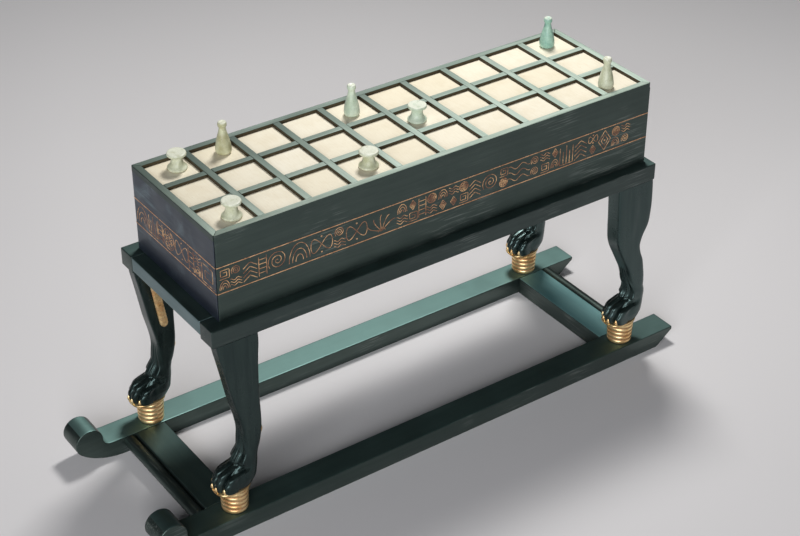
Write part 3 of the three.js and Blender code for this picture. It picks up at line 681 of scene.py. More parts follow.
# %% A toe
def toe_front(z, top):
    """How far behind its tip a toe begins at a height.

    It is blunt below, and above that 0.25 t + 0.75 t^3.2 of its length, so that it slopes back
    more and more. The slope has a joint in it, which bulges by about a millimetre.
    """
    foot = 1.6 * np.clip(1 - z / 3, 0, 1) ** 2
    t = np.clip((z / top - TOE_BLUNT) / (1 - TOE_BLUNT), 0, 1)
    slope = 0.25 * t + 0.75 * t ** 3.2
    return foot + TOE_LENGTH * slope - 0.9 * bump_at(t, 0.62, 0.14) + 0.6 * bump_at(t, 0.3, 0.12)


def toe_reach(dx, dy, centre, tip, across, half):
    """How far a ray from (centre, 0) goes until it leaves a toe for good, or 0 if it misses.

    Seen from above a toe is a long rectangle with half an ellipse as its nose, and the ray's exit
    is the farther one of these two. Towards the heel it shrinks, and it ends beside the pad.
    """
    a, b = TOE_NOSE, half
    ex = tip + a - centre
    lead = dx * ex / a ** 2 + dy * across / b ** 2
    square = (dx / a) ** 2 + (dy / b) ** 2
    hit = lead ** 2 - square * ((ex / a) ** 2 + (across / b) ** 2 - 1)
    nose = np.where(hit > 0, (lead + np.sqrt(np.maximum(hit, 0))) / square, 0)
    sideways = np.where(np.abs(dy) < 1e-6, 1e-6, dy)
    lengthways = np.where(np.abs(dx) < 1e-6, 1e-6, dx)
    y_in, y_out = np.sort([(across - b) / sideways, (across + b) / sideways], axis=0)
    x_in, x_out = np.sort([ex / lengthways, (TOE_BACK - centre) / lengthways], axis=0)
    far = np.minimum(x_out, y_out)
    block = np.where((far > np.maximum(x_in, y_in)) & (far > 0), far, 0)
    behind = np.clip((centre + block * dx + 9) / 15, 0, 1)
    block = block - 2.2 * behind ** 2 * (3 - 2 * behind)
    return np.maximum(nose, block) * np.interp(dx, [-0.25, 0.15], [1, 0])


print("a toe's top lies", toe_front(TOE_TOPS[1], TOE_TOPS[1]).round(1), "mm behind its tip")

# %% A leg, ring by ring
def leg(kind, sign):
    """Rings of a leg, each of them the distances of its surface from the leg's middle.

    The pad's distance is that of a rounded rectangle, (|cos / a|^n + |sin / b|^n)^(-1/n), and a
    toe's comes from toe_reach. Tendons are bell-shaped ridges that run up from the toes and draw
    together at the ankle.
    """
    z = np.concatenate([np.linspace(0, 46, 150), np.linspace(46.6, LEG, 90)])
    front, back, half, middle, squareness = (v[:, None] for v in edges(kind, z))
    height = z[:, None]
    turn = circle(264)[None, :]
    dx, dy = np.cos(turn), np.sin(turn)
    reach_x, centre_x = (back - front) / 2, (back + front) / 2
    away = (np.abs(dx / reach_x) ** squareness + np.abs(dy / half) ** squareness) ** (
        -1 / squareness)
    sole = np.clip(height / 3, 0, 1)
    away = away - 1.5 * (1 - np.sqrt(1 - (1 - sole) ** 2))
    flank = bump_at(np.abs(dy), 0.9, 0.22) * np.interp(dx, [-0.2, 0.35], [1, 0])
    away = away - 1.7 * bump_at(height, 19, 3.0) * flank

    toes = np.zeros_like(away)
    for across, tip, top in zip(TOES, TOE_TIPS, TOE_TOPS):
        share = np.clip(height / top, 0, 1)
        width = TOE_WIDTH * (1 - 0.16 * share ** 2)
        toe = toe_reach(dx, dy, centre_x, tip + toe_front(height, top), across, width)
        toe = toe * (height < top)
        lines = bump_at(toe * dy, across - 1.2, 0.4) + bump_at(toe * dy, across + 1.2, 0.4)
        worn = np.interp(height, [0.3 * top, 0.5 * top, top], [0, 1, 1])
        toes = merged(toes, toe - 0.4 * lines * worn * (toe > 0), 0.3)
    away = merged(away, toes, 1.0)

    side = away * dy
    ahead = np.clip(-dx / 0.55, 0, 1)
    forward = ahead ** 2 * (3 - 2 * ahead)
    drawn = np.interp(height, [14, 30, 48, 70], [1, 0.9, 0.55, 0.36])
    fan = sum(bump_at(side, across * drawn, 0.95) for across in TOES)
    furrow = sum(bump_at(side, across * drawn, 0.7) for across in (-6.5, 0, 6.5))
    shown = np.interp(height, [19, 24, 38, 60], [0, 1.35, 0.95, 0]) * forward
    away = away + shown * (1.15 * fan - 0.9 * furrow)
    away = away - 0.9 * bump_at(height, 22.4, 1.5) * forward ** 2
    if kind == "hindleg":
        thigh = bump_at(height, 118, 26) * np.abs(dy) ** 4
        away = away + 0.5 * thigh * np.cos((away * dx + 4) / 5)
    x = STATIONS[kind] + centre_x + away * dx
    y = sign * (DRUM_Y + middle + away * dy)
    return stacked(x, y, PAW_FOOT + height)


for kind, foot, _, sign in FEET:
    piece(foot + "_carving", loft(leg(kind, sign)), "stand", carved_ebony[kind], [foot])
print("legs stand at", STATIONS)

# %% [markdown]
# ## Gilded feet
# Each paw rests on a thin gilded plate with a claw over each toe, and the plate on a gilded drum
# of five rounded hoops. Gold leaf shows every unevenness under it, so the finish has fine
# wrinkles, and reddish clay shows where the leaf has worn through. The drums' grooves get the same
# reddish colour as painted shade.

# %% Gilt
def gilt_look(place, wear_and_shade_mask=None):
    """Gold with cloudy tone, worn spots that show reddish clay, and a wrinkled surface.

    The same reddish colour also goes where that mask is 1: painted shade in the drums' grooves,
    and rubbed wear on the braces.
    """
    tone = place.noise(90)
    leaf = tone.between(0.3, 0.7).blend((0.90, 0.53, 0.21), (1.0, 0.78, 0.42))
    worn_spots_and_shade = place.noise(420, detail=4.0, roughness=0.7).between(0.63, 0.72)
    if wear_and_shade_mask:
        worn_spots_and_shade = worn_spots_and_shade.sum("MAXIMUM", wear_and_shade_mask)
    worn = (worn_spots_and_shade * 0.85).blend(leaf, (0.30, 0.11, 0.05))
    wrinkles = place.noise(650, roughness=0.6)
    shine = 0.22 + tone * 0.14 + worn_spots_and_shade * 0.25
    return {"Base Color": worn, "Roughness": shine, "Metallic": 0.86 - worn_spots_and_shade * 0.5,
            "Normal": relief(wrinkles, 0.00025, 0.5)}


def drum_look(place):
    """Gilt with painted shade, in the reddish colour of worn gilt, in the grooves between the five
    hoops.
    """
    phase = (place.part("Z") - DRUM_FOOT * MILLIMETRE) * (np.pi * HOOPS / DRUM / MILLIMETRE)
    groove = phase.sum("SINE", phase).size()
    return gilt_look(place, (1 - groove.between(0.18, 0.8)) * 0.85)


DRUM_FOOT, DRUM, HOOPS = 18.25, 23.5, 5
gilt = finish("gilt", gilt_look)
drum_gilt = finish("gilt_drum", drum_look)
rubbed_gilt = finish("gilt_rubbed", lambda place: gilt_look(
    place, place.noise(260).between(0.46, 0.62) * 0.6))


def gild(node, ending, part, leaf):
    """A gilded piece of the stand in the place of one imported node."""
    piece(node + ending, part, "stand", leaf, [node])


# The reddish colour in the drums' grooves is painted shade.
print("gilt, whole on the claws, thin in the drums' grooves, and rubbed on the braces")

# %% Drums
def turned(profile, around):
    """Rings of a turned shape about the Z axis from (radius, height) rows."""
    turn = circle(around)
    radius, height = profile[:, 0, None], profile[:, 1, None]
    return stacked(radius * np.cos(turn), radius * np.sin(turn), height)


DRUM_SIDES = 72
DRUM_RADIUS = 10.5
DRUM_WIDENS = 1.2
HOOP_SWELL = 1.45


def drum_profile():
    """Five hoops: the radius grows evenly upwards and swells by a share |sin|^0.6 in each hoop."""
    share = np.linspace(0, 1, 101)
    hoop = np.abs(np.sin(np.pi * HOOPS * share)) ** 0.6
    return stacked(DRUM_RADIUS + DRUM_WIDENS * share + HOOP_SWELL * hoop, DRUM * share)


for _, foot, x, sign in FEET:
    rings = turned(drum_profile(), DRUM_SIDES)
    turn = circle(DRUM_SIDES)
    uneven = 1 + 0.006 * np.sin(3 * turn + x) + 0.004 * np.sin(7 * turn + 2 * sign)
    rings[..., :2] *= uneven[None, :, None]
    part = loft(rings + np.array([x, sign * DRUM_Y, DRUM_FOOT]))
    gild("drum_" + foot, "_hoops", part, drum_gilt)
print("drums are", drum_profile()[:, 0].max() * 2, "mm wide")

# %% Sole plates and claws
SOLE = 2.25
SOLE_HALF, HEEL, NOSE = 13.4, 15, 19.6
CLAW_HEIGHT, CLAW_HALF, CLAW_DEPTH = 6.8, 1.65, 1.5


def sole_outline():
    """The plate from above: half an ellipse at the heel and a blunt, broad nose."""
    def bowed(value, exponent):
        return np.sign(value) * np.abs(value) ** exponent
    turn = np.radians(np.linspace(-90, 90, 19))
    heel = stacked(HEEL * np.cos(turn), SOLE_HALF * np.sin(turn))
    turn = np.radians(np.linspace(90, 270, 33))[1:-1]
    nose = stacked(NOSE * bowed(np.cos(turn), 0.62), SOLE_HALF * bowed(np.sin(turn), 0.8))
    return np.vstack([heel, nose])


def claw(tip, across, top):
    """A drop of gold at the foot of a toe, on the toe's own outline.

    Its half width is a share sin(pi (0.2 + 0.8 u))^0.7 of the widest, from the plate, u = 0, to
    its point, u = 1.
    """
    u = np.linspace(0, 1, 22)[:, None]
    z = -0.5 + CLAW_HEIGHT * u
    spine = np.minimum(tip + toe_front(np.maximum(z, 1.0), top), tip + 1.1) + 0.2
    size = np.sin(np.pi * (0.2 + 0.8 * u)) ** 0.7
    turn = circle(20)[None, :]
    return stacked(spine + CLAW_DEPTH * size * np.cos(turn),
                   across + CLAW_HALF * size * np.sin(turn), z)


plate = bar(sole_outline(), -SOLE, -0.1, 0.7, "Z")
claws = [loft(claw(*row)) for row in zip(TOE_TIPS, TOES, TOE_TOPS)]
points, faces = together([plate] + claws)
for _, foot, x, sign in FEET:
    place = np.array([x, sign * DRUM_Y, PAW_FOOT])
    piece("sole_" + foot + "_leaf", (points + place, faces), "stand", gilt,
          ["sole_plate_" + foot])
print("each sole has", len(claws), "claws")

# %% Dewclaws
HORN_LENGTH = 13
HORN_HALF = 2.9


def horn(x, y, z):
    """A short thick horn against the back of a foreleg, with its point downwards."""
    u = np.linspace(0, 1, 24)[:, None]
    turn = circle(24)[None, :]
    half = HORN_HALF * np.sin(np.pi * (0.03 + 0.94 * u)) ** 0.75 * (0.72 + 0.28 * u)
    spine = x + 1.2 * np.sin(np.pi * u)
    return stacked(spine + half * np.cos(turn), y + half * np.sin(turn),
                   z + HORN_LENGTH * (u - 0.5))


height = PAW + 13
back = edges("foreleg", np.array([height]))[1][0]
for side, sign in SIDES.items():
    part = loft(horn(STATIONS["foreleg"] + back + 0.6, sign * DRUM_Y, PAW_FOOT + height))
    gild("dewclaw_" + side, "_horn", part, gilt)
print("dewclaws sit", round(PAW_FOOT + height, 1), "mm up")

# %% [markdown]
# ## Braces
# A gilded brace springs from the inner face of each leg and bends over to the end rail. It is
# chased all over with crossing lines. A pattern this shallow could be a bump in the finish, but
# the export keeps meshes, so it is cut into the surface: a brace's radius shrinks in two
# families of grooves that wind round it in opposite directions.

# %% Chased braces
BRACE_FOOT = 78.0
BRACE_HEAD = {"foreleg": -3.0, "hindleg": 16.5}
BRACE_WAIST, BRACE_INWARDS, BRACE_TENON = 14.6, 25.0, 3.5
BRACE_WIDTH, BRACE_DEPTH = 4.0, 3.2
END_RAIL_FOOT = 194.75
CHASING, CHASED = 7.0, 0.35


def sweep(path, half_width, half_depth, around):
    """Rings of an oval section along a path that bends in a plane with X almost across it."""
    along = np.gradient(path, axis=0)
    along /= np.linalg.norm(along, axis=1, keepdims=True)
    across = np.array([1.0, 0, 0]) - along * along[:, :1]
    across /= np.linalg.norm(across, axis=1, keepdims=True)
    depth = np.cross(along, across)
    turn = circle(around)
    return (path[:, None] + half_width[..., None] * np.cos(turn)[None, :, None] * across[:, None]
            + half_depth[..., None] * np.sin(turn)[None, :, None] * depth[:, None])


def brace(kind, sign):
    """A chased bow from the leg's inner face to the underside of the end rail."""
    inner = OUTSIDE - THICKNESS[kind]
    front, back = (v[0] for v in edges(kind, np.array([BRACE_FOOT]))[:2])
    rail, middle = BRACE_HEAD[kind], (front + back) / 2
    top = END_RAIL_FOOT - PAW_FOOT
    a = np.array([middle, inner - 1.0, BRACE_FOOT])
    b = np.array([(middle + rail) / 2, inner - 1.0, top - BRACE_WAIST])
    c = np.array([rail, inner - BRACE_INWARDS, top + BRACE_TENON])
    s = np.linspace(0, 1, 150)[:, None]
    path = (1 - s) ** 2 * a + 2 * s * (1 - s) * b + s ** 2 * c
    path = path[path[:, 2] < top + 0.6]
    length = np.concatenate([[0], np.cumsum(np.linalg.norm(np.diff(path, axis=0), axis=1))])
    around = 64
    turn = circle(around)[None, :]
    wind = 2 * np.pi * length[:, None] / CHASING
    groove = np.maximum(np.cos(wind + 4 * turn) ** 12, np.cos(wind - 4 * turn) ** 12)
    ends = np.sqrt(1 - (1 - np.clip(length / 5.0, 0.03, 1)) ** 2)[:, None]
    thin = CHASED * groove
    rings = sweep(path, (BRACE_WIDTH - thin) * ends, (BRACE_DEPTH - thin) * ends, around)
    rings[..., 1] = sign * (DRUM_Y + rings[..., 1])
    rings += np.array([STATIONS[kind], 0, PAW_FOOT])
    return rings


for kind, foot, _, sign in FEET:
    gild("brace_" + foot, "_chased", loft(brace(kind, sign)), rubbed_gilt)
print("braces are chased")

# %% [markdown]
# ## Games box
# The box has two long walls, one end and a drawer at the other end. Its wall timbers meet in a
# mitre at the head, where the photograph shows a thin dark seam. The two boards inside are only
# seen when a drawer is open or from below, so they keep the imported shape.

# %% Walls
def wall(corners):
    """An upright wall timber over its outline from above, tight under the lattice."""
    return bar(corners, WALL_FOOT, LATTICE_FOOT, 0.5, "Z", seam="high")


LATTICE_FOOT, LATTICE_TOP = extent("lattice")[2]
BOX_HEAD, BOX_TAIL = extent("box_end_head")[0][0], extent("box_side_front")[0][1]
WALL_FOOT = extent("box_side_front")[2][0]
BOX_HALF = 69.0
BOX_WALL = 9.0
MITRE = 0.12
front_wall = [(BOX_HEAD + MITRE, -BOX_HALF), (BOX_TAIL, -BOX_HALF),
              (BOX_TAIL, BOX_WALL - BOX_HALF), (BOX_HEAD + BOX_WALL + MITRE, BOX_WALL - BOX_HALF)]
back_wall = [(x, -y) for x, y in front_wall[::-1]]
end_wall = [(BOX_HEAD, BOX_HALF - MITRE), (BOX_HEAD, MITRE - BOX_HALF),
            (BOX_HEAD + BOX_WALL, BOX_WALL + MITRE - BOX_HALF),
            (BOX_HEAD + BOX_WALL, BOX_HALF - BOX_WALL - MITRE)]
for node, corners, wood in (("box_side_front", front_wall, ebony["X"]),
                            ("box_side_back", back_wall, ebony["X"]),
                            ("box_end_head", end_wall, head_ebony_painted_tint)):
    timber(node, wall(corners), wood, body="box")
for node in ("box_bottom_board", "box_top_board"):
    nodes[node].material_slots[0].material = ebony["X"]
print("box runs from", BOX_HEAD, "to", BOX_TAIL)

# %% [markdown]
# ## Lattice
# Eleven bars across and four along divide the top into thirty squares. Each is a bar of its own:
# the bars across run through, short bars fill in between them, and the outer ones meet in a
# mitre at the corners. The joints are hair-thin lines, as on the real board.

# %% Bars between the squares
BAR = 6.5
COLUMNS, ROWS = 10, 3
CELL_X = (BOX_TAIL - BOX_HEAD - (COLUMNS + 1) * BAR) / COLUMNS
CELL_Y = (2 * BOX_HALF - (ROWS + 1) * BAR) / ROWS
JOINT = 0.08
BAR_EDGE = 0.45


def mitred(x, y, flip):
    """Corners of an outer bar that runs the length, mitred at both ends, wide side outwards."""
    corners = [(x[0], y[0]), (x[1], y[0]), (x[1] - BAR, y[1]), (x[0] + BAR, y[1])]
    return [(a, -b) for a, b in corners[::-1]] if flip else corners


long_bars = [bar(mitred((BOX_HEAD + JOINT, BOX_TAIL - JOINT), (-BOX_HALF, BAR - BOX_HALF), flip),
                 LATTICE_FOOT, LATTICE_TOP, BAR_EDGE, "Z", "low") for flip in (False, True)]
cross_bars = []
for x, inward in ((BOX_HEAD, 1), (BOX_TAIL, -1)):
    inner, half = x + inward * BAR, BOX_HALF - JOINT
    corners = [(x, half), (x, -half), (inner, BAR - half), (inner, half - BAR)]
    cross_bars.append(bar(corners if inward > 0 else corners[::-1], LATTICE_FOOT, LATTICE_TOP,
                          BAR_EDGE, "Z", "low"))
lift = np.random.default_rng(4)
for column in range(1, COLUMNS):
    x = BOX_HEAD + column * (CELL_X + BAR)
    top = LATTICE_TOP - lift.uniform(0, 0.12)
    cross_bars.append(plank((x, x + BAR), (BAR - BOX_HALF, BOX_HALF - BAR), (LATTICE_FOOT, top),
                            BAR_EDGE, "Y"))
for column in range(COLUMNS):
    x = BOX_HEAD + BAR + column * (CELL_X + BAR)
    for row in range(1, ROWS):
        y = row * (CELL_Y + BAR) - BOX_HALF
        top = LATTICE_TOP - lift.uniform(0.02, 0.15)
        long_bars.append(plank((x + JOINT, x + CELL_X - JOINT), (y, y + BAR),
                               (LATTICE_FOOT, top), BAR_EDGE, "X"))
bars = [piece("lattice_long_bars", together(long_bars), "box", ebony["X"],
              ["lattice"], ebony_rim["X"]),
        piece("lattice_cross_bars", together(cross_bars), "box", ebony["Y"],
              ["lattice"], ebony_rim["Y"])]
print(len(long_bars), "bars along and", len(cross_bars), "across")

# %% Painted bounce light on the walls inside the squares
for made in bars:
    faces = made.data.polygons
    normal, centre = (np.zeros(len(faces) * 3) for _ in range(2))
    faces.foreach_get("normal", normal)
    faces.foreach_get("center", centre)
    x, y, _ = centre.reshape(-1, 3).T / MILLIMETRE
    upright = np.abs(normal.reshape(-1, 3)[:, 2]) < 0.5
    within = (x > BOX_HEAD + 1) & (x < BOX_TAIL - 1) & (np.abs(y) < BOX_HALF - 1)
    # The walls inside the squares get the finish with painted bounce light.
    made.data.materials.append(painted_bounce_ebony)
    chosen = np.zeros(len(faces), np.int32)
    faces.foreach_get("material_index", chosen)
    faces.foreach_set("material_index", np.where(upright & within, 2, chosen).astype(np.int32))
    print((upright & within).sum(), "faces of", made.name, "line the squares")

# %% [markdown]
# ## Ivory
# Thin ivory plates line the squares. No two have the same tone, their fine growth lines run
# across them, and dirt has gathered in specks. The squares are found in the finish itself:
# a place divided by the pitch of the squares and rounded down gives a number for each square.

# %% Ivory finish
def ivory_look(place):
    """A tone for each square, faint growth lines, dark specks and a pale cloudiness."""
    pitch_x, pitch_y = (CELL_X + BAR) * MILLIMETRE, (CELL_Y + BAR) * MILLIMETRE
    corner = ((BOX_HEAD + BAR / 2) * MILLIMETRE, (BAR / 2 - BOX_HALF) * MILLIMETRE, 0)
    moved = place.node("VectorMath", {"operation": "SUBTRACT"}, {0: place, 1: corner})
    cells = moved.scaled((1 / pitch_x, 1 / pitch_y, 0))
    number = cells.node("VectorMath", {"operation": "FLOOR"}, {0: cells})
    tone = number.node("TexWhiteNoise", {"noise_dimensions": "3D"}, {"Vector": number})
    lines = place.scaled((1.0, 0.12, 1.0)).noise(900, detail=2.0)
    clouds = place.noise(60, detail=4.0, roughness=0.6)
    specks = place.noise(700, roughness=0.6).between(0.66, 0.74)
    pale = tone.blend((0.80, 0.73, 0.56), (0.86, 0.81, 0.67))
    veined = (lines.between(0.35, 0.8) * 0.22 + clouds.between(0.4, 0.7) * 0.22).blend(
        pale, (0.66, 0.56, 0.38))
    dirty = (specks * 0.5).blend(veined, (0.30, 0.24, 0.16))
    shine = 0.42 + lines * 0.12 + specks * 0.2
    height = lines * 0.6 + clouds * 0.4 - specks * 0.4
    return {"Base Color": dirty, "Roughness": shine, "Normal": relief(height, 0.0001, 0.5)}


ivory = finish("ivory", ivory_look)
for column in range(1, COLUMNS + 1):
    nodes["ivory_strip_%02d" % column].material_slots[0].material = ivory
print("ivory lies in", COLUMNS, "strips")

# %% [markdown]
# ## The frieze
# A band of line drawing runs round the box between two long lines. Here the band holds plain
# ornament: rosettes, lozenges, spirals, leaves and combs. Every line is a thin raised ribbon. It
# could be painted in the finish instead, but a ribbon keeps its edge from any distance and
# stays a shape of its own in the exported mesh.

# %% Ribbons on a wall
STROKE = 0.37
LINE_STROKE = 0.45
PROUD = 0.16
SUNK = 0.12


def ribbon(path, closed, place, width=STROKE):
    """A raised strip along a path of (along, up) points on a wall.

    Its section is a low trapezium: full width in the wall, seven tenths of it at the top.
    """
    if closed:
        chord = np.roll(path, -1, axis=0) - np.roll(path, 1, axis=0)
    else:
        chord = np.gradient(path, axis=0)
    normal = stacked(-chord[:, 1], chord[:, 0])
    normal /= np.linalg.norm(normal, axis=1, keepdims=True) + 1e-9
    across = np.array([-1, -0.7, 0.7, 1]) * width
    out = np.array([-SUNK, PROUD, PROUD, -SUNK])
    flat = path[:, None] + normal[:, None] * across[None, :, None]
    rings = stacked(flat[..., 0], flat[..., 1], out)
    if closed:
        rings = np.concatenate([rings, rings[:1]])
    points, faces = loft(rings)
    if closed:
        faces = faces[:-2]
    return place(points), faces


def arc(x, y, rx, ry, start, stop, steps=14):
    """Points of an ellipse about (x, y) between two angles in degrees."""
    turn = np.radians(np.linspace(start, stop, steps))
    return stacked(x + rx * np.cos(turn), y + ry * np.sin(turn))


def polyline(*corners):
    """Straight lines between corners, with points a little before and after each corner."""
    corners = np.array(corners, float)
    share = np.array([0.06, 0.94])[None, :, None]
    parts = corners[:-1, None] + (corners[1:] - corners[:-1])[:, None] * share
    return np.vstack([corners[:1], parts.reshape(-1, 2), corners[-1:]])


print("a ring is", len(ribbon(arc(0, 0, 3, 3, 0, 340), True, lambda p: p)[0]), "points")

# %% Ornaments
# Each ornament of half height r gives its width and its strokes, as (path, is it closed). Loops
# are closed strokes, lines are open ones, and a dot is a small ring.
def loops(paths):
    return [(path, True) for path in paths]


def lines(paths):
    return [(path, False) for path in paths]


def dot(x, y, radius, stop=330, steps=9):
    return loops([arc(x, y, radius, radius, 0, stop, steps)])


def rosette(r):
    strokes = dot(0, 0, r, 345, 20) + dot(0, 0, 0.2 * r)
    for a in np.radians(np.arange(0, 360, 60)):
        strokes += dot(0.62 * r * np.cos(a), 0.62 * r * np.sin(a), 0.24 * r)
    return 2 * r, strokes


def lozenge(r):
    diamond = np.array([(1, 0), (0, 1), (-1, 0), (0, -1)]) * (0.72, 1.0)
    return 1.44 * r, loops([rounded(r * diamond, 0.3), rounded(0.55 * r * diamond, 0.25)]) + dot(
        0, 0, 0.6, 315, 8)


def spiral(r):
    turn = np.linspace(0.6, 5.2 * np.pi, 34)
    size = turn / turn[-1] * r
    return 2 * r, lines([stacked(size * np.cos(turn), size * np.sin(turn))])


def fan(r):
    s = np.linspace(0, np.pi, 12)
    out, wide = 1.75 * r * np.sin(s / 2), 0.17 * r * np.sin(s)
    leaves = [stacked(out * np.cos(a) - wide * np.sin(a), out * np.sin(a) + wide * np.cos(a) - r)
              for a in np.radians([30, 60, 90, 120, 150])]
    return 3.1 * r, lines(leaves + [arc(0, -r, 0.4 * r, 0.34 * r, 0, 180, 9)])


def sprig(r):
    s = np.linspace(-r, r, 16)
    leaves = [arc(side * 0.34 * r, y, 0.3 * r, 0.15 * r, 0, 330, 10)
              for y in (-0.55 * r, -0.05 * r, 0.45 * r) for side in (-1, 1)]
    return 1.4 * r, lines([stacked(0.12 * r * np.sin(3 * s / r), s)]) + loops(leaves)


def comb(r):
    teeth = [polyline((x, -r), (x, r * k))
             for x, k in zip(np.linspace(-0.75, 0.75, 5) * r, (0.8, 0.35, 0.9, 0.35, 0.8))]
    return 1.6 * r, lines(teeth + [polyline((-0.8 * r, -r), (0.8 * r, -r))])


def ladder(r):
    rails = [polyline((x, -r), (x, r)) for x in (-0.4 * r, 0.4 * r)]
    rungs = [polyline((-0.4 * r, y), (0.4 * r, y)) for y in np.linspace(-0.7, 0.7, 4) * r]
    return 0.8 * r, lines(rails + rungs)


def waves(r):
    s = np.linspace(-1.2 * r, 1.2 * r, 26)
    return 2.4 * r, lines(stacked(s, y + 0.2 * r * np.sin(4.2 * s / r))
                          for y in (-0.6 * r, 0, 0.6 * r))


def arches(r):
    return 2 * r, lines(arc(0, -0.8 * r, k * r, 1.7 * k * r, 0, 180, 16) for k in (1, 0.68, 0.36))


def maze(r):
    way = ((-4, -4), (4, -4), (4, 3), (-3, 3), (-3, -2), (2, -2), (2, 1), (-1, 1))
    return 2 * r, lines([polyline(*(np.array(way) * (0.25 * r)))])


def knot(r):
    turn = circle(34)
    eight = stacked(1.15 * r * np.sin(turn), 0.72 * r * np.sin(2 * turn))
    return 2.3 * r, loops([eight]) + dot(0, 0.82 * r, 0.5, 315, 8) + dot(0, -0.82 * r, 0.5, 315, 8)


def chevrons(r):
    return 1.5 * r, lines(polyline((-0.7 * r, y), (0, y + 0.5 * r), (0.7 * r, y))
                          for y in np.array([-1.0, -0.55, -0.1, 0.35]) * r)


TALL = [rosette, lozenge, spiral, fan, sprig, comb, ladder, waves, arches, maze, knot, chevrons]
SMALL = [rosette, lozenge, spiral, arches, knot, maze, waves]
print(len(TALL), "ornaments")

# %% The frieze round the box
FRIEZE_FOOT, FRIEZE_TOP = WALL_FOOT + 26.5, WALL_FOOT + 51.5
FRIEZE_MIDDLE = (FRIEZE_FOOT + FRIEZE_TOP) / 2
PAIR_SHARE = 0.36
PAIR_UP = 5.4
PAIR_SIZES, SINGLE_SIZES = (4.4, 4.9), (8.8, 10.2)
SPACES = (0.8, 1.7)


def frieze(start, stop, place, seed):
    """The two lines, and the ornaments side by side between them, some of them pairs."""
    draw = np.random.default_rng(seed)
    edging, parts = [], []
    for height in (FRIEZE_FOOT, FRIEZE_TOP):
        line = stacked(np.linspace(start + 0.7, stop - 0.7, 40), height)
        edging.append(ribbon(line, False, place, LINE_STROKE))
    along, last = start + 3.0, None
    while True:
        pair = draw.random() < PAIR_SHARE
        makers = [m for m in (SMALL if pair else TALL) if m is not last]
        last = makers[draw.integers(len(makers))]
        size = draw.uniform(*(PAIR_SIZES if pair else SINGLE_SIZES))
        groups = [(last(size), PAIR_UP if pair else 0.0)]
        if pair:
            groups.append((makers[draw.integers(len(makers))](size), -PAIR_UP))
        width = max(group[0][0] for group in groups)
        if along + width > stop - 2.5:
            break
        for (_, strokes), up in groups:
            middle = np.array([along + width / 2, FRIEZE_MIDDLE + up])
            parts += [ribbon(path + middle, closed, place) for path, closed in strokes]
        along += width + draw.uniform(*SPACES)
    return together(edging), together(parts)


print("the frieze is", FRIEZE_TOP - FRIEZE_FOOT, "mm high")

# %% The frieze's walls and paint
def on_wall(axis, sign, face):
    """Turns (along, up, out) into a place on a wall that looks along an axis."""
    def place(points):
        along, up, out = points.T
        if axis == "Y":
            return stacked(along, sign * face + sign * out, up)
        return stacked(face + sign * out, along, up)
    return place


def inlay_look(low, high):
    """Red-gold paint between two tones, thin and dark where it has rubbed away."""
    def look(place):
        tone = place.noise(130)
        paint = tone.between(0.38, 0.66).blend(low, high)
        blend_share = place.noise(420, roughness=0.65).between(0.54, 0.66)
        return {"Base Color": (blend_share * 0.8).blend(paint, (0.10, 0.055, 0.04)),
                "Roughness": 0.38 + tone * 0.2}
    return look


inlay = finish("inlay", inlay_look((0.26, 0.11, 0.06), (0.80, 0.48, 0.24)), Metallic=0.25)
line_inlay = finish("inlay_line", inlay_look((0.55, 0.27, 0.13), (0.85, 0.50, 0.27)),
                    Metallic=0.25)
for name, (start, stop), place, seed in (
        ("front", (BOX_HEAD, BOX_TAIL), on_wall("Y", -1, BOX_HALF), 11),
        ("back", (BOX_HEAD, BOX_TAIL), on_wall("Y", 1, BOX_HALF), 12),
        ("head", (-BOX_HALF, BOX_HALF), on_wall("X", -1, BOX_HEAD), 13)):
    edging, ornaments = frieze(start, stop, place, seed)
    piece("frieze_lines_" + name, edging, "box", line_inlay, [])
    piece("frieze_" + name, ornaments, "box", inlay, [])
    print("frieze", name, "has", len(ornaments[1]), "faces")

# %% [markdown]
# ## Drawer
# The drawer has a black front that closes the box's tail end, and a box of brown softwood
# behind it. A small ivory knob pulls it. The softwood's growth rings are wide and wavy, unlike
# the black wood's streaks.

# %% Drawer
def cedar_look(place):
    """Wavy growth bands along the length, with fine dark fibres."""
    along = place.scaled((0.06, 1.0, 1.0))
    bands = along.noise(75, detail=2.0, distortion=1.2)
    fibres = along.noise(900, detail=2.0)
    rings = bands.sum("SINE", bands * 40) * 0.5 + 0.5
    wood = rings.blend((0.20, 0.105, 0.05), (0.33, 0.19, 0.10))
    dark = (fibres.between(0.55, 0.75) * 0.5).blend(wood, (0.10, 0.055, 0.03))
    return {"Base Color": dark, "Roughness": 0.55 + fibres * 0.15,
            "Normal": relief(rings * 0.4 + fibres * 0.6, 0.0001, 0.5)}


cedar = finish("cedar", cedar_look)
front = plank(*extent("drawer_front"), 0.5, "Y")
timber("drawer_front", front, ebony["Y"], body="drawer")
for node in ("drawer_floor", "drawer_side_front", "drawer_side_back", "drawer_back"):
    nodes[node].material_slots[0].material = cedar

(x0, x1), (y0, y1), (z0, z1) = extent("drawer_knob")
reach, size = x1 - x0, (y1 - y0) / 2
KNOB = np.array([(0.5, 0), (0.46, 0.1), (0.42, 0.3), (0.44, 0.44), (0.8, 0.52), (0.98, 0.62),
                 (0.99, 0.74), (0.88, 0.86), (0.6, 0.95), (0.3, 0.99), (0.05, 1.0)])
s = np.linspace(0, 1, 61)
knots = np.linspace(0, 1, len(KNOB))
profile = stacked(smooth_curve(knots, KNOB[:, 0] * size, s),
                  smooth_curve(knots, KNOB[:, 1] * reach, s))
rings = turned(profile, 48)[..., [2, 0, 1]]
rings += np.array([x0, (y0 + y1) / 2, (z0 + z1) / 2])
piece("drawer_knob_turned", loft(rings), "drawer", ivory, ["drawer_knob"])
print("knob stands out", round(reach, 1), "mm")

